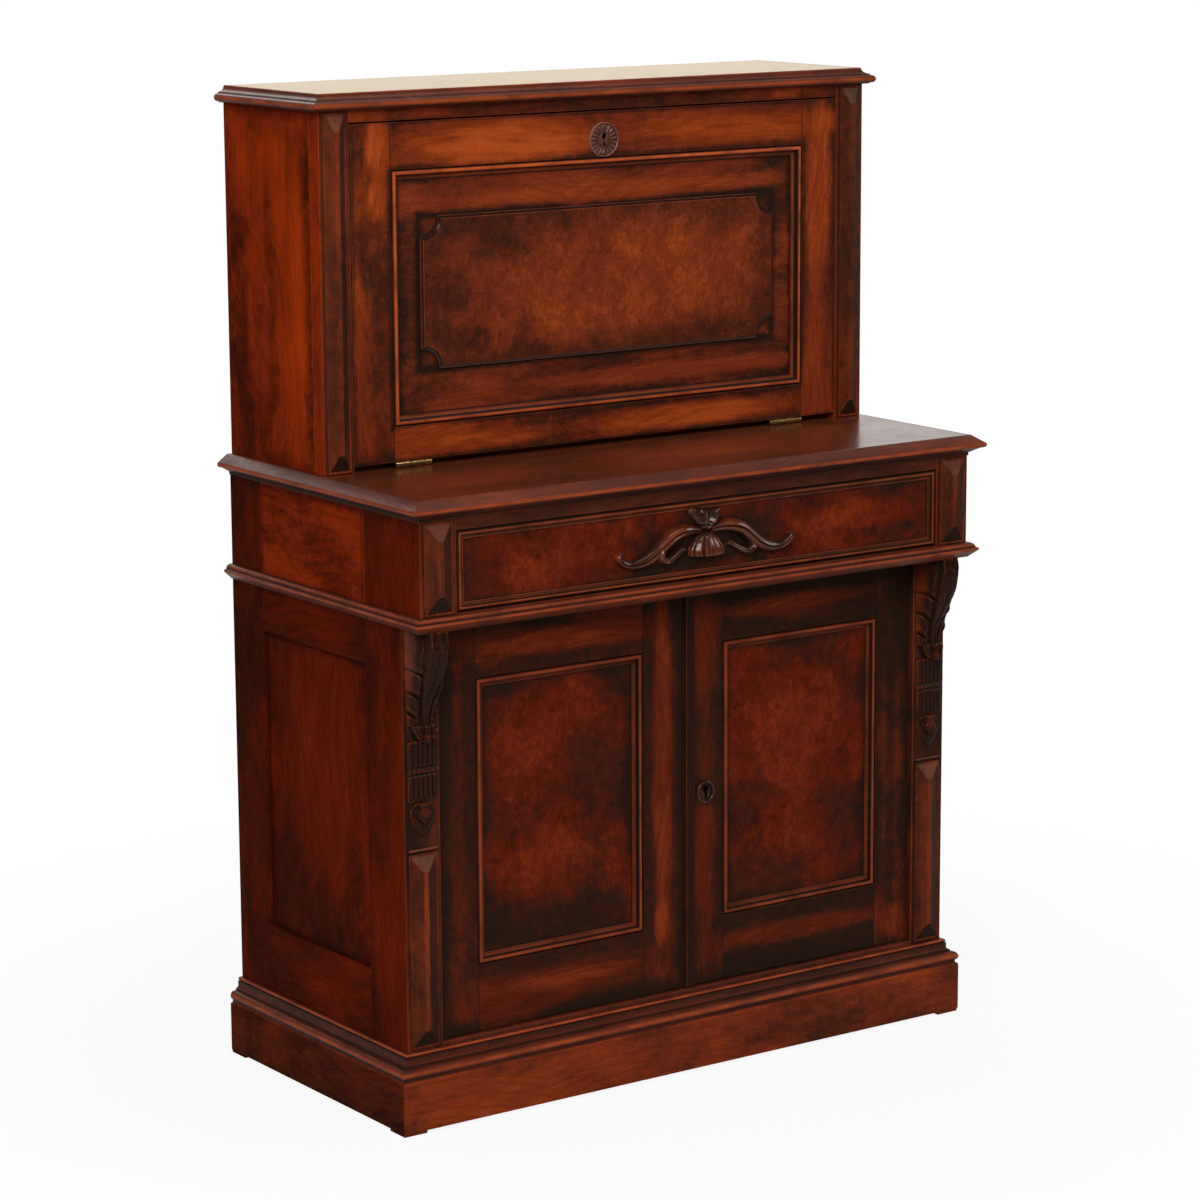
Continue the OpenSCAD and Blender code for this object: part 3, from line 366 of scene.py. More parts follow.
grainLayers = {
    # layer: size across and along the board, detail, roughness, warp, share of the figure
    "broad": ((7, 7, 2.6), 3.0, 0.55, 0.6, 0.36),
    "patch": ((46, 46, 15), 4.0, 0.62, 0.5, 0.26),
    "bands": ((70, 70, 5), 3.0, 0.6, 0.4, 0.10),
    "fibre": ((330, 330, 30), 3.0, 0.65, 0.0, 0.16),
    "grit": ((560, 560, 150), 2.0, 0.6, 0.0, 0.14),
}


def makeStraightGrain():
    group, t, given, out = newGroup("straightGrain", {"Grain": "Vector"}, {"Figure": "Float", "Pores": "Float"})
    grain = given["Grain"]
    layers = {name: t.noise(grain, *look) for name, (*look, share) in grainLayers.items()}
    bend = t.noise(grain, (6, 6, 2.2), 2.0, 0.5, 0.6)
    x, y, z = t.split(grain)
    arch = t.minus(t.math("PINGPONG", z, 0.42), 0.2)  # the rings cross the board as long arches
    phase = t.plus(t.times(t.plus(x, y), 480.0), t.times(bend, 70.0), t.times(arch, arch, 420.0))
    rings = t.times(t.step(t.math("SINE", phase), 0.1, 1.0), -0.035)
    shares = [t.times(layers[name], look[-1]) for name, look in grainLayers.items()]
    pores = t.step(t.noise(grain, (900, 900, 30), 2.0, 0.6), 0.57, 0.72)
    t.feed(out["Figure"], t.plus(*shares, rings))
    t.feed(out["Pores"], t.times(pores, t.step(layers["broad"], 0.66, 0.34, 0.2, 1.0)))
    return group


burlLayers = {
    # layer: height against width, scale, detail, roughness, warp, share of the figure
    "cloud": (1, 12.0, 3.0, 0.5, 0.6, 0.34),
    "curl": (0.8, 78.0, 5.0, 0.66, 0.8, 0.42),
    "fleck": (0.6, 320.0, 3.0, 0.65, 0.6, 0.24),
}
burlEyes = {"scale": 62.0, "patches": 21.0, "share": 0.06}


def makeBurlFigure():
    group, t, given, out = newGroup("burlFigure", {"Vector": "Vector"}, {"Figure": "Float", "Pores": "Float"})
    where = given["Vector"]
    layers = {name: t.noise(t.scaled(where, (1, 1, tall)), *look)
              for name, (tall, *look, share) in burlLayers.items()}
    eye = t.cells(t.scaled(where, (1, 1, 0.8), (0.3, 0, 0.1)), burlEyes["scale"], "SMOOTH_F1")
    eyes = t.times(t.step(eye, 0.05, 0.3, 1.0, 0.0), t.step(t.noise(where, burlEyes["patches"]), 0.56, 0.68))
    figure = t.plus(*(t.times(layers[name], look[-1]) for name, look in burlLayers.items()))
    t.feed(out["Figure"], t.minus(figure, t.times(eyes, burlEyes["share"])))
    t.feed(out["Pores"], t.times(t.step(layers["fleck"], 0.56, 0.7), 0.4))
    return group


def makeProfileLine():
    group, t, given, out = newGroup("profileLine", {"Across": 0.0, "At": 0.0, "Half": 1.0}, {"Mask": "Float"})
    off = t.apart(given["Across"], given["At"])
    t.feed(out["Mask"], t.step(off, t.times(given["Half"], 0.55), given["Half"], 1.0, 0.0))
    return group


region = {"Across": 0.0, "Up": 0.0, "Across Middle": 0.0, "Up Middle": 0.0, "Half Across": 0.1, "Half Up": 0.1}


def makeEdgeShade():
    # dark haze along the edge of a rectangle, strayed by a cloud: patina near mouldings and edges, and painted shade
    # where a table uses it so
    group, t, given, out = newGroup("edgeShade", {**region, "Reach": 0.05, "Cloud": 0.5}, {"Mask": "Float"})
    off = t.fromEdge(*(given[key] for key in region))
    stray = t.times(t.minus(given["Cloud"], 0.5), t.times(given["Reach"], 2.6))
    t.feed(out["Mask"], t.step(t.plus(off, stray), t.times(given["Reach"], 0.15), given["Reach"], 1.0, 0.0))
    return group


def makeWarmSpot():
    # a soft oval with a ragged edge
    group, t, given, out = newGroup("warmSpot", {**region, "Cloud": 0.5}, {"Mask": "Float"})
    a, u = (t.math("DIVIDE", t.minus(given[way], given[way + " Middle"]), given["Half " + way])
            for way in ("Across", "Up"))
    far = t.math("SQRT", t.plus(t.times(a, a), t.times(u, u)))
    far = t.plus(far, t.times(t.minus(given["Cloud"], 0.5), 1.6))
    t.feed(out["Mask"], t.step(far, 0.45, 1.3, 1.0, 0.0))
    return group


polish = {
    "tones": ((0.34, 0.52), (0.49, 0.70)),  # where in the figure the middle and the light tone come in
    "mottle": (75.0, 5.0, 0.68), "mottleDepth": 0.9,
    "speck": (430.0, 2.0, 0.6), "speckDepth": 0.7,
    "rubPatches": (24.0, 3.0, 0.6), "rubbed": 0.8,
    "pores": 0.5,
    "dullness": {"depth": 0.1, "sootAndShade": 0.2, "spread": 0.16},  # what each adds to the roughness
    "relief": {"figure": 0.25, "pores": 0.5},
}


def makeAgedFinish():
    # old polish: the figure's three tones under patina and painted shade, worn places with some painted highlights,
    # and soot with painted shade in hollows
    group, t, given, out = newGroup(
        "agedFinish", {"Vector": "Vector", "Figure": 0.5, "Pores": 0.0, "PatinaAndShade": 0.0, "WearAndHighlight": 0.0, "GrimeAndShade": 0.0,
                       "Dark": "Color", "Middle": "Color", "Light": "Color", "RubAndHighlight": "Color", "SmokeAndShade": "Color",
                       "Sheen": 0.3}, {"Color": "Color", "Roughness": "Float", "Height": "Float"})
    where, figure, soilAndShade = given["Vector"], given["Figure"], given["SmokeAndShade"]
    col = given["Dark"]
    for tone, reach in zip(("Middle", "Light"), polish["tones"]):
        col = t.mix(t.step(figure, *reach), col, given[tone])
    col = t.mix(t.times(given["Pores"], polish["pores"]), col, soilAndShade)
    speck = t.noise(where, *polish["speck"])
    mottle = t.noise(where, *polish["mottle"])
    spread = t.minus(mottle, 0.5)
    depth = t.plus(given["PatinaAndShade"], t.times(spread, polish["mottleDepth"]),
                   t.times(t.minus(speck, 0.5), polish["speckDepth"]))
    depth = t.step(depth, -0.02, 1.12, 0.0, 0.97)
    col = t.mix(depth, col, soilAndShade)
    patchy = t.step(t.noise(where, *polish["rubPatches"]), 0.3, 0.62, 0.35, 1.0)
    rubAndHighlight = t.math("MULTIPLY", given["WearAndHighlight"], patchy, clamp=True)
    col = t.mix(t.times(rubAndHighlight, polish["rubbed"]), col, given["RubAndHighlight"])
    sootAndShade = t.math("MULTIPLY", given["GrimeAndShade"], t.step(mottle, 0.15, 0.6, 0.75, 1.0), clamp=True)
    t.feed(out["Color"], t.mix(sootAndShade, col, soilAndShade))
    dull, relief = polish["dullness"], polish["relief"]
    t.feed(out["Roughness"], t.plus(given["Sheen"], t.times(depth, dull["depth"]), t.times(sootAndShade, dull["sootAndShade"]),
                                    t.times(spread, dull["spread"])))
    t.feed(out["Height"], t.minus(t.times(figure, relief["figure"]), t.times(given["Pores"], relief["pores"])))
    return group


straightGrain = makeStraightGrain()
burlFigure = makeBurlFigure()
edgeShade = makeEdgeShade()
profileLine = makeProfileLine()
warmSpot = makeWarmSpot()
agedFinish = makeAgedFinish()

woodTones = {
    # tone: dark, middle and light of the figure
    "upper": ((0.060, 0.0095, 0.0035), (0.165, 0.0225, 0.0048), (0.31, 0.053, 0.010)),
    # lower, lowerSide and lowerBurl are darker copies for the lower case: partly darker patina, partly painted shade
    # where less light reaches low down
    "lower": ((0.024, 0.0050, 0.0026), (0.082, 0.0118, 0.0034), (0.185, 0.028, 0.0055)),
    "side": ((0.075, 0.0095, 0.0016), (0.205, 0.0185, 0.0020), (0.33, 0.036, 0.004)),
    "lowerSide": ((0.026, 0.0042, 0.0010), (0.085, 0.0082, 0.0012), (0.165, 0.0165, 0.0024)),
    "mould": ((0.026, 0.0075, 0.0042), (0.078, 0.0150, 0.0062), (0.16, 0.029, 0.0085)),
    "burl": ((0.050, 0.0095, 0.0045), (0.150, 0.0225, 0.0066), (0.29, 0.050, 0.0112)),
    "lowerBurl": ((0.022, 0.0038, 0.0018), (0.092, 0.0098, 0.0022), (0.20, 0.023, 0.0036)),
    "carved": ((0.007, 0.0032, 0.0022), (0.019, 0.0044, 0.0024), (0.060, 0.0095, 0.0034)),
    "strip": ((0.038, 0.0095, 0.0045), (0.135, 0.0230, 0.0066), (0.26, 0.044, 0.010)),
    # painted shade for the insides of the keyholes
    "sootAndShade": ((0.003, 0.0022, 0.0018), (0.004, 0.003, 0.0025), (0.005, 0.004, 0.003)),
    "rosette": ((0.045, 0.016, 0.009), (0.095, 0.032, 0.019), (0.16, 0.055, 0.032)),
    "capTop": ((0.070, 0.018, 0.006), (0.150, 0.034, 0.009), (0.25, 0.062, 0.015)),
    "pull": ((0.008, 0.0036, 0.0025), (0.026, 0.0066, 0.0036), (0.10, 0.019, 0.007)),
    "ledge": ((0.036, 0.0090, 0.0040), (0.085, 0.0175, 0.0060), (0.17, 0.035, 0.010)),
    "pine": ((0.18, 0.066, 0.022), (0.34, 0.145, 0.050), (0.47, 0.23, 0.090)),
}
smokeAndShade = (0.0112, 0.0066, 0.0040)
sideSmokeAndShade = (0.0100, 0.0034, 0.0014)
rubbed = (0.34, 0.060, 0.0135)
dullEdge = (0.05, 0.0095, 0.003)


def woodMaterial(name, tone="upper", burl=False, plane="xz", clouds=0.3, shades=(), spots=(), crests=(), quirks=(),
                 joint=None, rubAndHighlight=rubbed, soilAndShade=smokeAndShade, sheen=0.30, coat=0.0, gloss=0.08, tint=(1.0, 0.6, 0.42),
                 bump=0.35, dustAndSheen=None):
    # shades: dark bands along a rectangle's edges, patina near mouldings and edges and painted shade where the table
    # notes it, (middle across, middle up, half across, half up, reach, strength) in metres on the plane
    # spots: patches where the patina is cleared and the figure made lighter and warmer, lighter worn wood in some
    # and painted highlights in others, (middle across, middle up, half across, half up, strength)
    # crests, quirks: bright and dark lines of a moulding, rubbed wear on its beads and grime with painted shade in
    # its grooves, some painting the highlight and shade of beads the mesh lacks, (at, half width, strength) in mm in
    # from its outer edge
    # joint: fine dark lines between stiles and rails, (middle across, half across)
    # soil: the colour of the patina haze and soot, and of the painted shade; the dust film shows from a low angle
    # through the shader's sheen, given as (weight, roughness, tint)
    material, t, shader, where = newMaterial(name)
    grain = where if burl else t.attribute("grain", "Vector")
    seen = t.use(burlFigure, {"Vector": where}) if burl else t.use(straightGrain, {"Grain": grain})
    cloud = t.noise(grain if burl else t.scaled(grain, (1, 1, 0.55)), 8.0, 4.0, 0.58, 0.4)
    axes = dict(zip("xyz", t.split(where)))
    across, up = (axes[way] for way in plane)

    def mask(group, *place, **more):
        values = dict(zip(region, (across, up, *place)), Cloud=cloud, **more)
        return t.use(group, values)["Mask"]

    def line(off, at, half):
        return t.use(profileLine, {"Across": off, "At": at, "Half": half})["Mask"]

    patinaAndShade = t.times(t.step(cloud, 0.66, 0.40), clouds)
    for *place, reach, strength in shades:
        patinaAndShade = t.math("MAXIMUM", patinaAndShade, t.times(mask(edgeShade, *place, Reach=reach), strength))
    look = seen["Figure"]
    for *place, strength in spots:
        warm = mask(warmSpot, *place)
        patinaAndShade = t.times(patinaAndShade, t.minus(1.0, t.times(warm, min(strength, 1))))
        look = t.plus(look, t.times(warm, 0.06 * strength))
    wearAndHighlight, grimeAndShade = t.attribute("wearAndHighlight"), t.attribute("grimeAndShade")
    if joint:
        seam = line(t.apart(across, joint[0]), joint[1], 0.0009)
        grimeAndShade = t.math("MAXIMUM", grimeAndShade, t.times(seam, 0.8))
    inwards = t.attribute("across") if crests or quirks else None
    for at, half, strength in crests:
        wearAndHighlight = t.math("MAXIMUM", wearAndHighlight, t.times(line(inwards, at, half), strength))
    for at, half, strength in quirks:
        grimeAndShade = t.math("MAXIMUM", grimeAndShade, t.times(line(inwards, at, half), strength))
    tones = dict(zip(("Dark", "Middle", "Light"), woodTones[tone]))
    done = t.use(agedFinish, dict(tones, Vector=where, Figure=look, Pores=seen["Pores"], PatinaAndShade=patinaAndShade, WearAndHighlight=wearAndHighlight,
                                  GrimeAndShade=grimeAndShade, RubAndHighlight=rubAndHighlight, SmokeAndShade=soilAndShade, Sheen=sheen))
    t.feedAll(shader, {"Base Color": done["Color"], "Roughness": done["Roughness"],
                       "Normal": t.relief(done["Height"], bump, 0.0004), "Specular IOR Level": gloss,
                       "Specular Tint": tint, "Coat Weight": coat, "Coat Roughness": 0.14})
    if dustAndSheen:
        t.feedAll(shader, dict(zip(("Sheen Weight", "Sheen Roughness", "Sheen Tint"), dustAndSheen)))
    return material


def rectangle(name, plane="xz"):
    # a node's middle across, middle up, half across and half up
    low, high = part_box(name)
    a, u = ("xyz".index(k) for k in plane)
    return ((low[a] + high[a]) / 2, (low[u] + high[u]) / 2, (high[a] - low[a]) / 2, (high[u] - low[u]) / 2)


# which way the grain runs: 0 along X, 1 along Y, 2 along Z

def mitred(half, front):
    # lengths round the front and both sides
    return lambda middles: np.where(np.abs(middles[:, 0]) - half > front - middles[:, 1], 1, 0)


def framed(name):
    # stiles beside the opening of the named moulding, and rails above and below it
    am, um, ha, hu = rectangle(name)
    return lambda middles: np.where(np.abs(middles[:, 0] - am) > ha - 1e-5, 2, 0)


def picture(name):
    # four mitred lengths of a panel moulding
    am, um, ha, hu = rectangle(name)
    return lambda middles: np.where(np.abs(middles[:, 0] - am) - ha > np.abs(middles[:, 2] - um) - hu, 2, 0)


# how far each corner of a moulding's faces stands out from its seat, and up or forward, in mm

def aroundCase(name, half, front):
    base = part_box(name)[0].z

    def distance(spots, middles):
        atSide = np.abs(middles[:, 0]) - half > front - middles[:, 1]
        out = np.where(atSide, np.abs(spots[:, 0]) - half, front - spots[:, 1])
        return out * 1000, (spots[:, 2] - base) * 1000
    return distance


def insideFrame(name, face):
    am, um, ha, hu = rectangle(name)

    def distance(spots, middles):
        a, u = ha - np.abs(spots[:, 0] - am), hu - np.abs(spots[:, 2] - um)
        upright = ha - np.abs(middles[:, 0] - am) < hu - np.abs(middles[:, 2] - um)
        return np.where(upright, a, u) * 1000, (face - spots[:, 1]) * 1000
    return distance


def markProfile(piece, distance, crests, hollows):
    # crests are rubbed, and hollows get grime with painted shade: (out, up, reach, strength)
    mesh = piece.data
    loops, spots, face, middles = cornerData(mesh)
    out, up = distance(spots, middles[face])
    wearAndHighlight, grimeAndShade = (np.max([0 * out] + [strength * np.clip(1.2 - np.hypot(out - o, up - u) / reach, 0, 1)
                                       for o, u, reach, strength in marks], axis=0) for marks in (crests, hollows))
    writeCorners(mesh, "wearAndHighlight", wearAndHighlight)
    writeCorners(mesh, "grimeAndShade", grimeAndShade * (1 - np.clip(wearAndHighlight, 0, 1)))
    writeCorners(mesh, "across", out)


shot = {"azimuth": -35.14, "elevation": 11.23, "roll": -0.31, "distance": 4.881,
        "target": (0.0312, 0.06125, 0.5557), "lens": 115.1}


def makeCamera():
    az, el, ro = (math.radians(shot[k]) for k in ("azimuth", "elevation", "roll"))
    back = Vector((math.sin(az) * math.cos(el), -math.cos(az) * math.cos(el), math.sin(el)))
    right = (-back).cross(Vector((0, 0, 1))).normalized()
    up = right.cross(-back)
    r = right * math.cos(ro) + up * math.sin(ro)
    u = up * math.cos(ro) - right * math.sin(ro)
    data = bpy.data.cameras.new("photoCamera")
    data.lens = shot["lens"]
    data.sensor_width = 36
    data.clip_end = 60
    camera = linked("photoCamera", data)
    spot = Vector(shot["target"]) + back * shot["distance"]
    camera.matrix_world = Matrix.Translation(spot) @ Matrix((r, u, back)).transposed().to_4x4()
    scene.camera = camera


studio = {
    "room": 0.25,  # light from all round
    "darkSide": 0.07,  # what a gloss sees away from the backdrop
    "backdrop": (0.64, 0.77, 0.0),  # the way to the bright backdrop
    "floor": (0.58, 0.575, 0.57),
    "floorRadius": 7,
    "whiteFrom": (0.4, 1.5, 0.9),  # the floor goes from 90 percent white to white between these distances
    "lamps": [  # name, place, aim, width, height, power
        ("softboxLeft", (-2.6, -2.8, 3.0), (0, 0, 0.75), 2.2, 2.2, 175),
        ("softboxRight", (3.6, -1.5, 2.4), (0, 0, 0.7), 1.6, 2.0, 36),
        ("softboxTop", (0.2, -0.6, 3.6), (0, 0, 0.6), 2.6, 1.6, 45),
        ("softboxBack", (0.3, 3.2, 3.6), (0, 0, 0.7), 2.0, 2.0, 34),
    ],
}


def makeRoom():
    # pale to the camera, dim as a light, and bright on one side for what is glossy
    world = bpy.data.worlds.new("paleRoom")
    scene.world = world
    world.use_nodes = True
    t = Tree(world.node_tree)
    path = t.add("ShaderNodeLightPath").outputs
    toward = t.add("ShaderNodeVectorMath", operation="DOT_PRODUCT")
    t.feedAll(toward, {0: t.add("ShaderNodeTexCoord").outputs["Generated"], 1: studio["backdrop"]})
    backdrop = t.step(toward.outputs["Value"], 0.25, 0.85, studio["darkSide"], 1.0)
    seen = t.math("MAXIMUM", path["Is Camera Ray"], path["Is Transmission Ray"])
    shown = t.step(seen, 0.0, 1.0, studio["room"], 1.0)
    gloss = t.times(path["Is Glossy Ray"], t.minus(backdrop, shown))
    t.feedAll(world.node_tree.nodes["Background"], {"Strength": t.plus(shown, gloss), "Color": (1, 1, 1)})


def makeLamps():
    for name, spot, aim, width, height, power in studio["lamps"]:
        data = bpy.data.lights.new(name, "AREA")
        data.shape = "RECTANGLE"
        data.size = width
        data.size_y = height
        data.energy = power
        turn = (Vector(spot) - Vector(aim)).to_track_quat("Z", "Y").to_matrix().to_4x4()
        linked(name, data).matrix_world = Matrix.Translation(spot) @ turn


def makeFloor():
    deselectAll()
    bpy.ops.mesh.primitive_circle_add(vertices=96, radius=studio["floorRadius"], fill_type="NGON")
    floor = bpy.context.object
    floor.name = "studioFloor"
    material, t, shader, where = newMaterial("paleFloor")
    t.feedAll(shader, {"Base Color": studio["floor"], "Roughness": 0.8, "Specular IOR Level": 0.1})
    glow = t.feedAll(t.add("ShaderNodeEmission"), {"Strength": 1.0})
    seen = t.add("ShaderNodeLightPath").outputs["Is Camera Ray"]
    far = t.feedAll(t.add("ShaderNodeVectorMath", operation="LENGTH"), {0: where}).outputs["Value"]
    white = t.times(seen, t.step(far, *studio["whiteFrom"], 1.0))
    blend = t.feedAll(t.add("ShaderNodeMixShader"), {0: white, 1: shader.outputs[0], 2: glow.outputs[0]})
    t.feed(material.node_tree.nodes["Material Output"].inputs[0], blend.outputs[0])
    floor.data.materials.append(material)


makeCamera()
makeRoom()
makeLamps()
makeFloor()
scene.view_settings.view_transform = "Standard"
print("camera and studio ready")

fallField, fallEdge, fallRaised, leftField, leftEdge, rightField, rightEdge, drawerEdge = (
    rectangle(name) for name in ("fall_moulding", "fall_frame", "fall_burl_panel", "left_door_moulding",
                                 "left_door_frame", "right_door_moulding", "right_door_frame", "drawer_front"))
sideLook = dict(tone="side", plane="yz", gloss=0.006, soilAndShade=sideSmokeAndShade)
lowerSideLook = dict(tone="lowerSide", plane="yz", clouds=0.7, gloss=0.005, soilAndShade=sideSmokeAndShade, rubAndHighlight=dullEdge)
# painted highlights on the corbels: glints on the leaf tips, with some warm wear there, and on the drops' tulips
carvedGlints = [(side * 0.385, up, 0.007, tall, 3.0)
                for side in (-1, 1) for up, tall in ((0.482, 0.003), (0.389, 0.006))]

woods = {
    "plinthWalnut": dict(clouds=0.65, sheen=0.36),
    "plinthSideWalnut": dict(sideLook, tone="lower", clouds=0.8),
    "mouldingWalnut": dict(tone="mould", clouds=0.45, sheen=0.28, gloss=0.15),
    "upperPostWalnut": dict(tone="mould", clouds=0.5, gloss=0.15),
    "postWalnut": dict(lowerSideLook, spots=[(-0.18, 0.36, 0.05, 0.22, 1.0)]),
    # its grey rub colour paints dust and a highlight on the strips' upward slopes; its shade is painted shade on the
    # right lower strip
    "stripWalnut": dict(tone="strip", clouds=0.55, gloss=0.06, rubAndHighlight=(0.12, 0.095, 0.068),
                        shades=[(0.385, 0.22, 0.03, 0.14, 0.05, 0.7)], spots=[(-0.385, 0.23, 0.004, 0.09, 1.2)]),
    "beadWalnut": dict(tone="carved", clouds=0.4, gloss=0.1, rubAndHighlight=(0.15, 0.035, 0.014)),
    "sideWalnut": dict(sideLook, clouds=0.6),
    "upperSideWalnut": dict(sideLook, clouds=0.8, shades=[(*rectangle("upper_sides", "yz"), 0.045, 0.6)],
                            spots=[(0.06, 1.0, 0.02, 0.15, 0.7), (0.15, 0.95, 0.03, 0.12, 0.5)]),
    "sectionSideWalnut": dict(sideLook, clouds=0.6, shades=[(*rectangle("drawer_section_sides", "yz"), 0.018, 0.6)]),
    "lowerSideWalnut": lowerSideLook,
    "sidePanelWalnut": dict(lowerSideLook, shades=[(*rectangle("side_panels", "yz"), 0.03, 0.8)],
                            spots=[(0.03, 0.42, 0.08, 0.16, 0.8)]),
    "blockWalnut": dict(tone="mould", clouds=0.6, gloss=0.15),
    "ledgeWalnut": dict(tone="ledge", clouds=0.4, sheen=0.2, coat=0.08, gloss=0.7, tint=(1.0, 0.78, 0.58)),
    "capWalnut": dict(tone="capTop", sheen=0.22, gloss=1.0, tint=(1.0, 0.84, 0.52), bump=0.1,
                      dustAndSheen=(1.0, 0.32, (1.0, 0.84, 0.58))),
    "postFaceWalnut": dict(tone="mould", clouds=0.95, gloss=0.06),
    # painted shade on the raised burl panel's walls and step
    "panelEdgePaintedShade": dict(tone="carved", sheen=0.12, gloss=0.6, coat=0.8),
    # the inner crests and quirks are painted highlight and painted shade for a bead and grooves that the mesh does
    # not have
    "fallMouldingWalnut": dict(tone="mould", clouds=0.5, gloss=0.15, rubAndHighlight=(0.44, 0.078, 0.016),
                               crests=[(4.3, 2.2, 0.95), (10.6, 2.2, 0.3)],
                               quirks=[(0.7, 1.3, 1.0), (7.6, 0.9, 1.0), (13.8, 1.4, 1.0)]),
    "doorMouldingWalnut": dict(tone="mould", clouds=0.7, gloss=0.10, rubAndHighlight=(0.25, 0.045, 0.012),
                               crests=[(4.4, 2.3, 0.9), (9.4, 1.9, 0.5), (11.9, 0.7, 0.6)],
                               quirks=[(0.8, 1.3, 1.0), (7.1, 0.8, 0.95), (11.1, 0.4, 0.7), (13.2, 0.8, 1.0)]),
    "drawerMouldingWalnut": dict(tone="mould", clouds=0.6, gloss=0.12, rubAndHighlight=(0.28, 0.058, 0.015),
                                 crests=[(3.9, 1.5, 0.8), (7.3, 1.4, 0.25), (9.9, 0.8, 0.6)],
                                 quirks=[(0.8, 1.3, 1.0), (5.8, 0.7, 0.9), (8.7, 0.6, 0.8), (11.0, 0.6, 1.0)]),
    "innerWalnut": dict(clouds=0.2, sheen=0.4),
    "blockSideWalnut": dict(sideLook, tone="lowerSide", clouds=0.4),
    "fallWalnut": dict(clouds=0.8, joint=fallField[::2],
                       shades=[(*fallField, 0.013, 0.9), (*fallEdge, 0.010, 0.85)],
                       spots=[(-0.15, 1.15, 0.15, 0.028, 2.1), (0.2, 1.152, 0.16, 0.022, 0.8),
                              (-0.325, 1.15, 0.018, 0.04, 1.8), (-0.328, 1.09, 0.015, 0.025, 1.2),
                              (0.335, 1.05, 0.018, 0.12, 0.8), (0.332, 0.87, 0.014, 0.08, 0.6),
                              (0.13, 0.793, 0.16, 0.014, 1.6), (-0.2, 0.79, 0.1, 0.012, 0.8)]),
    # the two narrow shades round the raised panel are its painted shadow on the ground
    "fallGroundWalnut": dict(tone="burl", clouds=0.7,
                             shades=[(*fallField, 0.034, 0.95), (*fallRaised, 0.014, 0.85),
                                     (*fallRaised, 0.006, 1.3)],
                             spots=[(0.02, 1.082, 0.24, 0.012, 1.1), (0.1, 0.85, 0.22, 0.012, 1.0)]),
    # the narrow shade is painted shade along the panel's step
    "fallBurl": dict(tone="burl", burl=True, clouds=0.45,
                     shades=[(*fallRaised, 0.1, 0.7), (*fallRaised, 0.006, 0.8)],
                     spots=[(0.06, 0.975, 0.17, 0.07, 0.7), (-0.06, 0.92, 0.05, 0.03, 0.5)]),
    "leftDoorWalnut": dict(tone="lower", clouds=0.55, gloss=0.05, joint=leftField[::2],
                           shades=[(*leftField, 0.034, 0.8), (*leftEdge, 0.034, 1.0),
                                   (-0.345, 0.36, 0.015, 0.2, 0.036, 0.5)],
                           spots=[(-0.031, 0.40, 0.014, 0.2, 1.3), (-0.031, 0.19, 0.012, 0.03, 1.0),
                                  (-0.18, 0.146, 0.095, 0.015, 1.0), (-0.19, 0.57, 0.11, 0.014, 0.7)]),
    "rightDoorWalnut": dict(tone="lower", clouds=0.55, gloss=0.05, joint=rightField[::2],
                            shades=[(*rightField, 0.05, 0.9), (*rightEdge, 0.055, 1.0),
                                    (0.345, 0.36, 0.015, 0.2, 0.036, 0.9)],
                            spots=[(0.184, 0.15, 0.11, 0.014, 0.6), (0.166, 0.572, 0.11, 0.012, 0.6),
                                   (0.035, 0.22, 0.011, 0.08, 0.4)]),
    "leftDoorBurl": dict(tone="lowerBurl", burl=True, clouds=0.65, gloss=0.06,
                         shades=[(*leftField, 0.048, 0.95), (-0.18, 0.2, 0.09, 0.02, 0.06, 0.9)],
                         spots=[(-0.23, 0.43, 0.06, 0.07, 0.5), (-0.2, 0.29, 0.05, 0.05, 0.3)]),
    "rightDoorBurl": dict(tone="lowerBurl", burl=True, clouds=0.6, gloss=0.06, shades=[(*rightField, 0.042, 0.9)],
                          spots=[(0.185, 0.41, 0.07, 0.08, 0.9), (0.175, 0.29, 0.05, 0.045, 0.5)]),
    # the second shade is painted shade round the carved pull
    "drawerBurl": dict(tone="lowerBurl", burl=True, clouds=0.55,
                       shades=[(*drawerEdge, 0.026, 0.85), (0.005, 0.672, 0.07, 0.004, 0.07, 1.0)],
                       spots=[(-0.23, 0.668, 0.07, 0.02, 0.2), (0.24, 0.68, 0.08, 0.018, 1.0)]),
    "rosetteWalnut": dict(tone="rosette", clouds=0.1, sheen=0.2, gloss=0.15, coat=0.25, rubAndHighlight=(0.22, 0.085, 0.055)),
    "keyPlateWalnut": dict(tone="carved", clouds=0.1, sheen=0.22, gloss=0.12, coat=0.25, rubAndHighlight=(0.075, 0.036, 0.024)),
    # its shade is painted shade on the right corbel, and its spots are painted highlights
    "carvedWalnut": dict(tone="carved", clouds=0.4, sheen=0.2, gloss=0.05, coat=0.12, rubAndHighlight=(0.16, 0.028, 0.009),
                         tint=(1.0, 0.5, 0.32), shades=[(0.385, 0.48, 0.04, 0.13, 0.06, 0.7)], spots=carvedGlints),
    "pullWalnut": dict(tone="pull", clouds=0.5, sheen=0.2, coat=0.36, gloss=0.2, rubAndHighlight=(0.30, 0.050, 0.012)),
    "pineBoard": dict(tone="pine", clouds=0.0, sheen=0.6, rubAndHighlight=(0.4, 0.22, 0.1)),
    # painted shade for the insides of the keyholes
    "keyholePaintedShade": dict(tone="sootAndShade", clouds=0.0, gloss=0.0, sheen=0.7, rubAndHighlight=(0.004, 0.003, 0.0025)),
}
finishes = {name: woodMaterial(name, **look) for name, look in woods.items()}
print("finishes ready:", len(finishes))

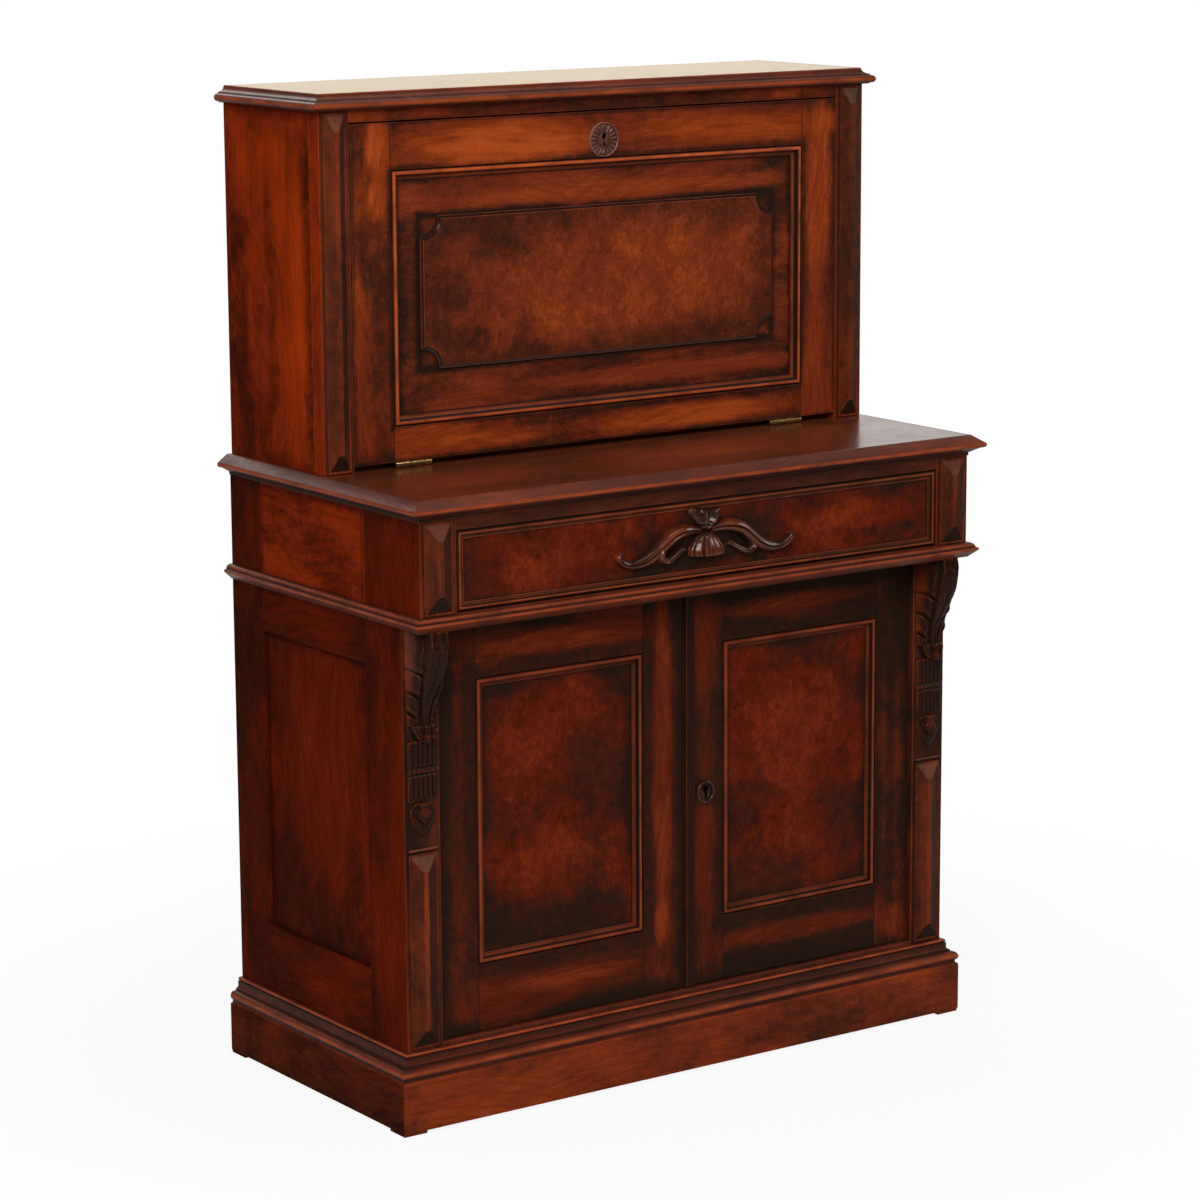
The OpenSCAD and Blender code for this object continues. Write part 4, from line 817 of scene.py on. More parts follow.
boards = [
    # node, ease in mm, grain, finish, record slot
    ("plinth", 1.6, mitred(lowerHalf, postFace), "plinthWalnut", "polished_walnut"),
    ("foot_blocks", 0.8, "x", "plinthWalnut", "dark_wood"),
    ("bottom_board", 0.6, "x", "pineBoard", "pine"),
    ("front_posts", 1.0, "z", "postWalnut", "polished_walnut"),
    ("rear_posts", 1.0, "z", "postWalnut", "polished_walnut"),
    ("side_rails", 0.5, "y", "lowerSideWalnut", "polished_walnut"),
    ("side_panels", 0.5, "z", "sidePanelWalnut", "burl_veneer"),
    ("hipped_strips", 0.8, "z", "stripWalnut", "polished_walnut"),
    ("divider_board", 0.6, "x", "pineBoard", "pine"),
    ("drawer_blocks", 0.9, "z", "blockWalnut", "polished_walnut"),
    ("drawer_section_sides", 0.6, "y", "sectionSideWalnut", "polished_walnut"),
    ("drawer_rail", 0.6, "x", "blockWalnut", "polished_walnut"),
    ("inner_battens", 0.8, "y", "pineBoard", "pine"),
    ("lower_back", 0.8, "z", "pineBoard", "pine"),
    ("cupboard_shelf", 1.0, "x", "pineBoard", "pine"),
    ("desk_ledge", 0.3, "x", "ledgeWalnut", "polished_walnut"),
    ("upper_sides", 0.8, "z", "upperSideWalnut", "polished_walnut"),
    ("pilasters", 1.0, "z", "upperPostWalnut", "polished_walnut"),
    ("top_rail", 0.7, "x", "fallWalnut", "polished_walnut"),
    ("cap_board", 0.3, "x", "capWalnut", "polished_walnut"),
    ("upper_back", 0.8, "z", "pineBoard", "pine"),
    ("writing_bed", 0.8, "x", "innerWalnut", "polished_walnut"),
    ("gallery", 0.8, "x", "innerWalnut", "polished_walnut"),
    ("fall_frame", 0.9, framed("fall_moulding"), "fallWalnut", "polished_walnut"),
    ("fall_panel", 0.5, "x", "fallGroundWalnut", "dark_wood"),
    ("fall_burl_panel", 0.8, "x", "fallBurl", "burl_veneer"),
    ("drawer_front", 0.8, "x", "drawerBurl", "burl_veneer"),
    ("drawer_box", 0.8, "y", "pineBoard", "pine"),
    ("drawer_bottom", 0.4, "x", "pineBoard", "pine"),
    ("left_door_frame", 0.9, framed("left_door_moulding"), "leftDoorWalnut", "polished_walnut"),
    ("left_door_panel", 0.5, "z", "leftDoorBurl", "burl_veneer"),
    ("right_door_frame", 0.9, framed("right_door_moulding"), "rightDoorWalnut", "polished_walnut"),
    ("right_door_panel", 0.5, "z", "rightDoorBurl", "burl_veneer"),
    ("left_small_drawer", 0.6, "x", "innerWalnut", "polished_walnut"),
    ("right_small_drawer", 0.6, "x", "innerWalnut", "polished_walnut"),
]
lip = 0.03  # the walnut front edge of a pine board
lippings = {name: frontOf(name) + lip for name in ("bottom_board", "divider_board")}
burlFace = frontOf("fall_burl_panel") + 1.2 * mm
knobPlane = frontOf("right_small_drawer") + 8.8 * mm
dressedBoards = {}


def faced(piece, finish, test):
    # a second finish on the faces that pass the test
    piece.data.materials.append(finish)
    for face in piece.data.polygons:
        if test(face):
            face.material_index = len(piece.data.materials) - 1


def sideways(face):
    return abs(face.normal.x) > 0.7


for seed, (name, ease, grain, finish, slot) in enumerate(boards):
    joints = [("y", lippings[name])] if name in lippings else []
    if name.endswith("_frame"):  # the joint lines between stiles and rails
        am, um, ha, hu = rectangle(name.replace("_frame", "_moulding"))
        joints = [("x", am - ha), ("x", am + ha)]
    piece = dressed(name, ease, smoothTo=14 if name == "hipped_strips" else 35, cuts=joints)
    setGrain(piece, grain, seed)
    piece.data.materials.append(finishes[finish])
    dressedBoards[name] = piece
for name, finish, test in (
    ("bottom_board", "mouldingWalnut", lambda face: face.center.y < lippings["bottom_board"]),
    ("divider_board", "mouldingWalnut", lambda face: face.center.y < lippings["divider_board"]),
    ("upper_back", "innerWalnut", lambda face: face.normal.y < -0.5),
    ("drawer_blocks", "blockSideWalnut", sideways),
    ("pilasters", "sideWalnut", sideways),
    ("front_posts", "postFaceWalnut", lambda face: face.normal.y < -0.7 or abs(face.center.x) < 0.4),
    # painted shade on the raised burl panel's walls and step
    ("fall_burl_panel", "panelEdgePaintedShade", lambda face: face.normal.y > -0.5 or face.center.y > burlFace),
    ("plinth", "plinthSideWalnut", sideways),
    ("foot_blocks", "plinthSideWalnut", sideways),
    ("desk_ledge", "mouldingWalnut", lambda face: face.normal.z < 0.5),
    ("cap_board", "mouldingWalnut", lambda face: face.normal.z < 0.5),
):
    faced(dressedBoards[name], finishes[finish], test)

# how strongly each slope of the strips is painted: the first is dust with a painted highlight on slopes that face
# up, the rest are painted shade
facetLightShade = {"dustAndSheen": 0.34, "under": 0.95, "right": 0.75, "left": 0.35, "edge": 0.9, "slant": 0.15}


def shadeFacets(piece):
    # dust and a painted highlight on the slopes that face up, painted shade on those that face down, to a side or
    # away
    mesh = piece.data
    face = cornerData(mesh)[2]
    x, y, z = readAll(mesh.polygons, "normal", 3)[face].T
    slant = facetLightShade["slant"]
    hipped = (y < -0.5) & (y > -0.985)
    dark = [np.where(shown, facetLightShade[name], 0.0) for name, shown in (
        ("under", hipped & (z < -slant)), ("right", hipped & (x > slant)), ("left", hipped & (x < -slant)),
        ("edge", y > -0.5))]
    writeCorners(mesh, "wearAndHighlight", np.where(hipped & (z > slant), facetLightShade["dustAndSheen"], 0.0))
    writeCorners(mesh, "grimeAndShade", np.max(dark, axis=0))


shadeFacets(dressedBoards["hipped_strips"])
print("boards dressed:", len(boards))

caseMouldings = {
    # node: half width and front of what it runs round, rubbed crests, hollows with grime and painted shade
    "base_moulding": (lowerHalf, postFace, [(17.2, 9.5, 3.2, 0.9), (5, 29.5, 1.8, 1.0)],
                      [(9.5, 17.3, 2.6, 1.0), (6.2, 26, 2.2, 0.9), (13, 1, 3, 0.8)]),
    "mid_moulding": (lowerHalf, sectionFace, [(11.6, 9.8, 2.2, 1.0), (7.2, 16.2, 2.2, 0.6)],
                     [(8.4, 12.2, 1.6, 0.9), (1, 18.5, 2, 0.8)]),
    "ledge_moulding": (lowerHalf, sectionFace, [(17.3, 14, 2.6, 0.9)], [(1.5, 3, 3, 0.8)]),
    "cap_moulding": (upperHalf, upperFace, [(12.4, 6, 3, 0.8), (-1.5, 20, 1.6, 0.8)],
                     [(5.6, 12, 2.4, 0.9), (0.5, 1, 2, 0.6)]),
}
panelMouldings = {
    # node: front plane of its frame, finish
    "fall_moulding": (upperFace, "fallMouldingWalnut"),
    "drawer_moulding": (sectionFace, "drawerMouldingWalnut"),
    "left_door_moulding": (doorFace, "doorMouldingWalnut"),
    "right_door_moulding": (doorFace, "doorMouldingWalnut"),
}
mouldings = [(name, mitred(half, front), aroundCase(name, half, front), crests, hollows, "mouldingWalnut")
             for name, (half, front, crests, hollows) in caseMouldings.items()]
mouldings += [(name, picture(name), insideFrame(name, front), [], [], finish)
              for name, (front, finish) in panelMouldings.items()]
for seed, (name, grain, distance, crests, hollows, finish) in enumerate(mouldings, 100):
    piece = dressed(name, 0, smoothTo=38)
    setGrain(piece, grain, seed)
    markProfile(piece, distance, crests, hollows)
    piece.data.materials.append(finishes[finish])
print("mouldings dressed:", len(mouldings))

brassLook = {"bright": (0.62, 0.40, 0.13), "dull": (0.20, 0.115, 0.04), "tarnish": 90.0, "scratches": (900, 60, 900)}
leather = {
    "dark": (0.030, 0.0105, 0.0065), "light": (0.075, 0.026, 0.013), "creases": (0.014, 0.006, 0.004),
    "pebbles": 620.0,
    "gilt": (0.50, 0.31, 0.10),
    "lines": ((0.018, 0.0008), (0.0215, 0.0004)),  # tooled lines: how far in from the edge, and half width
}


def makeBrass():
    material, t, shader, where = newMaterial("agedBrass")
    tarnish = t.step(t.noise(where, brassLook["tarnish"], 5.0, 0.65, 0.6), 0.38, 0.66)
    scratch = t.noise(where, brassLook["scratches"])
    t.feedAll(shader, {"Base Color": t.mix(tarnish, brassLook["bright"], brassLook["dull"]), "Metallic": 1.0,
                       "Roughness": t.plus(t.times(tarnish, 0.25), t.times(scratch, 0.32)),
                       "Normal": t.relief(scratch, 0.2, 0.0002)})
    return material


def makeLeather(name):
    # pebbled grain, a tooled double line inside the edge, a softer worn middle
    material, t, shader, where = newMaterial("writingLeather")
    x, y, z = t.split(where)
    pebble = t.step(t.cells(where, leather["pebbles"], "DISTANCE_TO_EDGE"), 0.0, 0.16)
    worn = t.noise(where, 7.0, 4.0, 0.6, 0.5)
    off = t.fromEdge(x, z, *rectangle(name))
    lines = 0.0
    for at, half in leather["lines"]:
        lines = t.math("MAXIMUM", lines, t.step(t.apart(off, at), half, half + 0.0004, 1.0, 0.0))
    col = t.mix(t.step(worn, 0.3, 0.7), leather["dark"], leather["light"])
    col = t.mix(t.times(t.minus(1.0, pebble), 0.5), col, leather["creases"])
    faded = t.times(lines, t.step(t.noise(where, 160.0, 3.0), 0.3, 0.55, 0.35, 1.0))
    t.feedAll(shader, {"Base Color": t.mix(faded, col, leather["gilt"]),
                       "Roughness": t.step(worn, 0.3, 0.7, 0.58, 0.42),
                       "Normal": t.relief(t.minus(pebble, lines), 0.5, 0.0004)})
    return material


brass = makeBrass()
for name in ("fall_hinge_plates", "fall_hinge_leaves", "pivot_plates", "left_door_pivots", "fall_lock",
             "fall_lock_bolt", "flush_bolt_plate", "flush_bolt", "door_lock", "door_lock_bolt"):
    piece = dressed(name, 0.25, short=4)
    piece.data.materials.append(brass)
for name in ("left_small_drawer", "right_small_drawer"):
    faced(dressedBoards[name], brass, lambda face: face.center.y < knobPlane)
lining = dressed("fall_lining", 0.2)
lining.data.materials.append(makeLeather("fall_lining"))

keyPlate = {
    "from": 0.0168, "to": 0.06,  # where the plate lies across the door
    "pivotsFrom": 0.3,
    "rim": 1.9 * mm, "proud": 0.3 * mm,
    "tube": 0.16,  # the rim's thickness against the plate's half size
    "rubbed": 0.35,
}
keyholes = {"fall": (0.0, 1.146), "reach": 0.0125, "plateReach": 0.0105}


def onPlate(face):
    return keyPlate["from"] < face.center.x < keyPlate["to"]


def inHole(middle, reach):
    return lambda face: (abs(face.normal.y) < 0.6
                         and math.hypot(face.center.x - middle[0], face.center.z - middle[1]) < reach)


def makePlateRim(low, high):
    # a rounded rim round the key plate
    deselectAll()
    tube = keyPlate["tube"]
    bpy.ops.mesh.primitive_torus_add(major_segments=72, minor_segments=16, major_radius=1, minor_radius=tube,
                                     rotation=(math.pi / 2, 0, 0))
    rim = bpy.context.object
    rim.name = "key-plate-rim"
    rim.scale = ((high[0] - low[0]) / 2 / (1 + tube), (high[2] - low[2]) / 2 / (1 + tube), keyPlate["rim"] / tube)
    settle(rim)
    moved(rim, (low[0] + high[0]) / 2, low[1] + keyPlate["proud"], (low[2] + high[2]) / 2)
    smooth(rim, 60)
    setGrain(rim, "z", 78)
    corners = len(rim.data.loops)
    writeCorners(rim.data, "wearAndHighlight", np.full(corners, keyPlate["rubbed"]))
    writeCorners(rim.data, "grimeAndShade", np.zeros(corners))
    rim.data.materials.append(finishes["keyPlateWalnut"])
    place(rim, nodes["right_door_fittings"]["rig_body"], slot="dark_wood")


# the bead and key plate of the right door, with its brass pivots, and painted shade in the keyholes
fittings = dressed("right_door_fittings", 0.35, short=3, smoothTo=30, rubAt=0.7)
setGrain(fittings, "z", 77)
fittings.data.materials.append(finishes["beadWalnut"])
faced(fittings, finishes["keyPlateWalnut"], onPlate)
faced(fittings, brass, lambda face: face.center.x > keyPlate["pivotsFrom"])
plate = np.array([tuple(fittings.data.vertices[k].co) for face in fittings.data.polygons if onPlate(face)
                  for k in face.vertices])
plateLow, plateHigh = plate.min(0), plate.max(0)
doorKey = ((plateLow + plateHigh) / 2)[[0, 2]]
sootAndShade = finishes["keyholePaintedShade"]
faced(fittings, sootAndShade, inHole(doorKey, keyholes["plateReach"]))
faced(dressedBoards["right_door_frame"], sootAndShade, inHole(doorKey, keyholes["reach"]))
faced(dressedBoards["fall_frame"], sootAndShade, inHole(keyholes["fall"], keyholes["reach"]))
makePlateRim(plateLow, plateHigh)
print("brass, leather and door fittings done")


def along(table, value):
    return float(np.interp(value, *zip(*table)))


def ramp(value):
    return min(1, max(0, value))


def ridge(off, width, power=2):
    return math.exp(-(off / width) ** power)


def within(off, soft):
    # near 1 inside a line and near 0 outside it
    return 1 / (1 + math.exp(off / soft))


def dome(share, power=2):
    return max(0, 1 - abs(share) ** power)


def flowing(points, count):
    # a smooth run of points through the given ones
    pts = np.array(points, float)
    out = []
    steps = len(pts) - 1
    for i in range(count):
        t = i / (count - 1) * steps
        k = min(int(t), steps - 1)
        t -= k
        a, b, c, d = (pts[min(max(k + j, 0), steps)] for j in (-1, 0, 1, 2))
        squared, cubed = 2 * a - 5 * b + 4 * c - d, 3 * b - a - 3 * c + d
        out.append(0.5 * (2 * b + (c - a) * t + squared * t * t + cubed * t ** 3))
    return out


def choosePoints(piece, test):
    if piece.mode == "EDIT":
        objectMode()
    for group in (piece.data.edges, piece.data.polygons):
        for item in group:
            item.select = False
    for v in piece.data.vertices:
        v.select = bool(test(v.co))
    bpy.ops.object.mode_set(mode="EDIT")
    bpy.ops.mesh.select_mode(type="VERT")


def squeeze(piece, test, value, centre=(0, 0, 0)):
    choosePoints(piece, test)
    bpy.ops.transform.resize(value=value, center_override=centre)


def push(piece, test, value):
    choosePoints(piece, test)
    bpy.ops.transform.translate(value=value)


def closeUp(piece):
    editAll(piece)
    bpy.ops.mesh.remove_doubles(threshold=0.000005)
    bpy.ops.mesh.normals_make_consistent(inside=False)
    objectMode()


def flatBack(piece, at, facing=(0, 1, 0)):
    # cut off flat beyond a plane, and closed
    editAll(piece)
    bpy.ops.mesh.bisect(plane_co=at, plane_no=facing, use_fill=True, clear_outer=True)
    closeUp(piece)
    return piece


def markRelief(piece, gain, lift):
    # hollows get grime and painted shade and crests get wear, from how each point stands against its neighbours
    mesh = piece.data
    spots, turned = (readAll(mesh.vertices, field, 3) for field in ("co", "normal"))
    a, b = readAll(mesh.edges, "vertices", 2, np.int32).T
    count = np.maximum(np.bincount(np.concatenate((a, b)), minlength=len(spots)), 1)

    def neighbours(values):
        total = np.zeros_like(values)
        np.add.at(total, a, values[b])
        np.add.at(total, b, values[a])
        return (total.T / count).T

    level = ((neighbours(spots) - spots) * turned).sum(1)
    for again in range(2):
        level = 0.5 * level + 0.5 * neighbours(level)
    level = (level * 6000 * gain)[cornerData(mesh)[0]]  # a hollow of a sixth of a millimetre is darkened fully, by grime and painted shade
    writeCorners(mesh, "wearAndHighlight", np.clip(-level * lift - 0.2, 0, 1))
    writeCorners(mesh, "grimeAndShade", np.clip(level + 0.1, 0, 1))


def finishCarving(piece, body, node, finish, gain, lift, angle=60, grain="z"):
    smooth(piece, angle)
    markRelief(piece, gain, lift)
    setGrain(piece, grain, len(piece.data.vertices))
    piece.data.materials.clear()
    piece.data.materials.append(finishes[finish])
    place(piece, body, node, slot="dark_wood")


def mirrored(piece, name):
    twin = linked(name, piece.data.copy())
    twin.scale = (-1, 1, 1)
    settle(twin)
    closeUp(twin)
    return twin


def sweptScroll(name, path, stations, flutes):
    # a half-round limb along a path of (x, z, width, height) in mm, lying on the plane y = 0
    # flutes: (degrees round from the crest, what is left of the radius)
    sides = 28
    rows = flowing(path, stations)
    run = [Vector((x, z)) for x, z, w, h in rows]
    spots = [Vector((at.x * mm, 0, at.y * mm)) for at in run]
    ways = [run[min(k + 1, stations - 1)] - run[max(k - 1, 0)] for k in range(stations)]
    heading = [math.atan2(way.y, way.x) for way in ways]
    half, high = rows[0][2] / 2 * mm, rows[0][3] * mm
    deselectAll()
    bpy.ops.mesh.primitive_circle_add(vertices=sides, radius=1, fill_type="NGON", location=tuple(spots[0]),
                                      rotation=(0, math.pi / 2 - heading[0], 0))
    limb = bpy.context.object
    limb.name = name
    limb.scale = (half, high, 1)
    settle(limb)
    for angle, keep in flutes:
        def atFlute(co, angle=angle):
            off = co - spots[0]
            across = math.cos(heading[0]) * off.z - math.sin(heading[0]) * off.x
            return abs(math.degrees(math.atan2(across / half, -off.y / high)) - angle) < 180 / sides + 0.01
        squeeze(limb, atFlute, (keep, keep, keep), tuple(spots[0]))
    pick(limb)
    editAll(limb)
    for k in range(1, stations):
        turn = (heading[k] - heading[k - 1] + math.pi) % (2 * math.pi) - math.pi
        wider, higher = (rows[k][j] / rows[k - 1][j] for j in (2, 3))
        bpy.ops.mesh.extrude_region_move(TRANSFORM_OT_translate={"value": tuple(spots[k] - spots[k - 1])})
        bpy.ops.transform.rotate(value=turn, orient_axis="Y", center_override=tuple(spots[k]))
        bpy.ops.transform.resize(value=(wider, higher, wider), center_override=tuple(spots[k]))
    return flatBack(limb, (0, pull["backs"]["limb"] * mm, 0))


pull = {
    "arm": {"stations": 44, "flutes": [(5, 0.8)],
            "path": [(8, 688, 9, 6), (20, 690, 13, 9), (35, 690.5, 17, 13), (50, 686.5, 18.5, 14),
                     (62, 678.5, 18.5, 13), (74, 669, 18, 11.5), (87, 661, 16.5, 10), (101, 657, 14, 8.5),
                     (114, 657, 11.5, 8), (124, 661, 10, 8), (129, 667.5, 8.5, 7.5), (126.5, 672, 5, 5.5)]},
    "curl": {"stations": 34, "flutes": [(0, 0.9)],
             "path": [(52, 682, 9, 9), (62, 675, 11, 11), (69, 667.5, 12, 12.5), (68, 660.5, 11.5, 13),
                      (60, 657, 11, 12.5), (51, 660, 10.5, 11), (43, 664.5, 10, 9.5), (36, 668, 8, 8),
                      (31, 667.5, 4.5, 6)]},
    # groove, foot and top: what is left of the size after each is pressed in
    "gourd": {"half": (27, 20, 27), "middle": 659.5, "ribs": 12, "groove": 0.87, "foot": 0.12, "top": 0.95},
    "bud": {"half": (18, 14, 15), "middle": 700, "tips": ((-1, 0.62), (1, 0.3))},  # tips: (side, reach)
    "backs": {"limb": 0.4, "fruit": 0.5},  # how far behind the drawer's face each is cut off
}


def seated(piece, size):
    # brought to size, cut flat behind, and set at its height
    piece.scale = tuple(v * mm for v in size["half"])
    settle(piece)
    return moved(flatBack(piece, (0, pull["backs"]["fruit"] * mm, 0)), z=size["middle"] * mm)


def makeGourd():
    size = pull["gourd"]
    deselectAll()
    bpy.ops.mesh.primitive_uv_sphere_add(segments=size["ribs"] * 6, ring_count=28, radius=1)
    gourd = bpy.context.object
    rib = 2 * math.pi / size["ribs"]

    def atGroove(co):
        off = (math.atan2(co.x, -co.y) / rib) % 1
        return min(off, 1 - off) < 0.08 and abs(co.z) < 0.97
    squeeze(gourd, atGroove, (size["groove"], size["groove"], 1))
    squeeze(gourd, lambda co: co.z < -0.01, (1, 1, size["foot"]))
    squeeze(gourd, lambda co: 0.4 < co.z < 0.97, (size["top"], 1, 1), (0, 0, 0.6))
    objectMode()
    return seated(gourd, size)


def makeBud():
    size = pull["bud"]
    deselectAll()
    bpy.ops.mesh.primitive_uv_sphere_add(segments=32, ring_count=20, radius=1)
    bud = bpy.context.object
    squeeze(bud, lambda co: co.z < -0.3, (0.72, 0.8, 1.15), (0, 0, -0.3))
    squeeze(bud, lambda co: co.z < -0.75, (0.55, 0.7, 1.0), (0, 0, -0.75))
    # the dark hollow between the two leaves, then a tip drawn out to each side
    push(bud, lambda co: co.y < -0.2 and math.hypot((co.x - 0.12) / 0.3, (co.z - 0.2) / 0.62) < 1, (0, 0.55, 0.06))
    push(bud, lambda co: co.y < 0.3 and math.hypot((co.x - 0.12) / 0.2, (co.z - 0.2) / 0.42) < 1, (0, 0.2, 0.05))
    for side, reach in size["tips"]:
        push(bud, lambda co: (co - Vector((side * 0.72, 0, 0.55))).length < 0.62,
             (side * reach * 0.4, -0.1, reach * 0.3))
        push(bud, lambda co: (co - Vector((side * 0.95, -0.1, 0.75))).length < 0.36,
             (side * reach * 0.7, -0.12, reach * 0.45))
    objectMode()
    soften = bud.modifiers.new("soften", "SUBSURF")
    soften.levels = soften.render_levels = 1
    applyAll(bud)
    return seated(bud, size)


def makePull():
    limbs = [sweptScroll(name, **pull[name]) for name in ("arm", "curl")]
    limbs += [mirrored(limb, limb.name + "Left") for limb in limbs]
    whole = joined("carved-pull", limbs + [makeGourd(), makeBud()])
    moved(whole, y=frontOf("drawer_front"))
    finishCarving(whole, "drawer", "drawer_pull", "pullWalnut", gain=1.2, lift=0.32, grain="x")


def carvedRelief(name, size, depth):
    # a grid stood upright, its points moved to the carved depth, and its rim taken back into the board behind
    deselectAll()
    columns, rows = size["grid"]
    bpy.ops.mesh.primitive_grid_add(x_subdivisions=columns, y_subdivisions=rows, size=2,
                                    rotation=(math.pi / 2, 0, 0))
    piece = bpy.context.object
    piece.name = name
    settle(piece)
    for v in piece.data.vertices:
        share = v.co.x
        z = size["low"] + (v.co.z + 1) / 2 * (size["high"] - size["low"])
        x = share * along(size["width"], z)
        v.co = Vector((x, -depth(size, share, x, z), z)) * mm
    editAll(piece)
    bpy.ops.mesh.region_to_loop()
    bpy.ops.mesh.extrude_region_move(TRANSFORM_OT_translate={"value": (0, mm, 0)})
    bpy.ops.transform.resize(value=(1, 0, 1), center_override=(0, mm, 0))
    bpy.ops.mesh.edge_face_add()
    closeUp(piece)
    return piece


# every size in mm; the tables give (height, value)
corbel = {
    "place": 385,
    "leaf": {
        "low": 470, "high": 609.7, "grid": (64, 132),
        "profile": [(470, 5), (474, 12), (480, 14.5), (488, 13.5), (497, 10.8), (507, 10), (526, 15), (548, 28),
                    (570, 39), (589, 43.2), (602, 41.5), (609.7, 40)],
        "width": [(470, 9), (474, 14), (480, 17.5), (490, 20), (505, 20.5), (530, 22), (610, 22.5)],
        "tongue": [(470, 3), (505, 4.5), (525, 7), (550, 11.5), (575, 14), (600, 12.5), (610, 12)],
        "tongueHigh": 2.8, "grooveDeep": 4.2, "ribDeep": 2.4, "ribFrom": 500,
        "notches": (558, 531, 506), "notchDeep": 5.8, "lobeHigh": 2.6, "lobesFrom": 0.42, "lean": 0.9,
        "tipFrom": 494, "tipTall": 20, "tipHalf": 17, "foldsAt": 476, "foldHigh": 1.6,
        "crownFrom": 590, "crownHigh": 2.2,
    },
    "band": {"low": 402, "high": 474, "grid": (72, 72), "width": [(402, 19.6), (474, 19.6)], "half": 19.6,
             "bar": 438, "reeds": 6, "proud": 5},
    "drop": {
        "low": 357, "high": 399, "grid": (44, 52),
        "width": [(357, 0.8), (362, 6), (368, 11), (375, 15), (383, 17), (390, 17), (395, 14), (399, 9)],
        "shield": [(374, 0.1), (379, 5.5), (384, 8.5), (389, 8.5), (394, 6.5), (397, 6), (399, 7)],
        "swell": 4.6, "shieldFrom": 373, "shieldHigh": 3.4, "grooveDeep": 1.8, "eye": (10.8, 391.5), "eyeDeep": 7.5,
    },
}


def leafDepth(size, share, x, z):
    out = along(size["profile"], z) * (0.12 + 0.88 * dome(share, 3.4) ** 0.42)
    off = abs(x) - along(size["tongue"], z)
    out += size["tongueHigh"] * within(off, 0.7)
    out -= size["grooveDeep"] * ridge(off - 1.5, 1.7) * ramp((z - size["low"]) / 14)
    out -= size["ribDeep"] * ridge(x, 1.5) * ramp((z - size["ribFrom"]) / 20)
    out += size["foldHigh"] * math.cos(x / 5.2 * math.pi) * ridge(z - size["foldsAt"], 6)
    side = ramp((abs(share) - size["lobesFrom"]) / 0.3)
    for notch in size["notches"]:  # each lobe stands up behind the notch below it
        lean = z - notch - (abs(x) - 16) * size["lean"]
        out -= side * size["notchDeep"] * ridge(lean, 1.7)
        out += side * size["lobeHigh"] * ridge(lean - 6, 4)
    if z < size["tipFrom"]:  # the rounded tip
        scallop = size["tipHalf"] * math.sqrt(dome((size["tipFrom"] - z) / size["tipTall"]))
        out = max(1.2, (out + 1.8) * within(abs(x) - scallop, 0.6))
        out -= 2.4 * ridge(abs(x) - scallop + 3.4, 1.1) * (z > size["foldsAt"])
    if z > size["crownFrom"]:
        out += size["crownHigh"] * math.cos(x / 22.5 * 4 * math.pi) * ramp((z - size["crownFrom"]) / 8)
    return max(out, 0.6)


def bandDepth(size, share, x, z):
    pitch = 2 * size["half"] / size["reeds"]
    off = 2 * (((x + size["half"]) / pitch) % 1 - 0.5)
    foot = ramp((z - size["low"] - 9 * off ** 2) / 4)
    out = 1.6 + (size["proud"] - 2.2) * math.sqrt(dome(off)) * foot
    fromBar = z - size["bar"]
    if abs(fromBar) >= 9:
        return out
    return max(out - 1.6 * ridge(abs(fromBar) - 4.2, 1.3), size["proud"] * ridge(fromBar, 1.9, 4))


def dropDepth(size, share, x, z):
    out = 0.6 + size["swell"] * math.sqrt(dome(share, 2.2)) * ramp((z - 355) / 12)
    off = abs(x) - along(size["shield"], z)
    grow = ramp((z - size["shieldFrom"]) / 3)
    out += size["shieldHigh"] * within(off, 0.5) * grow
    out -= size["grooveDeep"] * ridge(off - 1.4, 1.1) * grow
    out -= size["eyeDeep"] * ridge(math.hypot(abs(x) - size["eye"][0], z - size["eye"][1]), 13 ** 0.5)
    return max(out, 0.4)


def makeCorbels():
    carvings = [carvedRelief(name, corbel[name], depth)
                for name, depth in (("leaf", leafDepth), ("band", bandDepth), ("drop", dropDepth))]
    right = joined("right-corbel-carving", carvings)
    moved(right, x=corbel["place"] * mm, y=postFace)
    left = mirrored(right, "left-corbel-carving")
    for piece, node in ((left, "left_corbel"), (right, "right_corbel")):
        finishCarving(piece, "case", node, "carvedWalnut", gain=1.6, lift=0.4)


rosette = {
    "middle": 1144, "radius": 22, "petals": 19, "cut": 1123.4,  # all in mm; its foot is cut off level
    "keyhole": 1148, "keyRadius": 4, "slot": (3.8, 12),
    "rings": (21.6, 20.9, 20.0, 19.2, 18.6, 17.8, 16.6, 15.2, 13.6, 12.0, 10.6, 9.4, 8.6, 8.0, 7.4, 6.4, 4.5),
    "rimFrom": 18.8, "rimAt": 20.2, "rimHigh": 2.9,
    "heart": 8.1, "heartHigh": (1.7, 2.5),  # at its edge and inside
    "petalHigh": (1.2, 0.8),  # at the heart, and what it gains by the rim
}


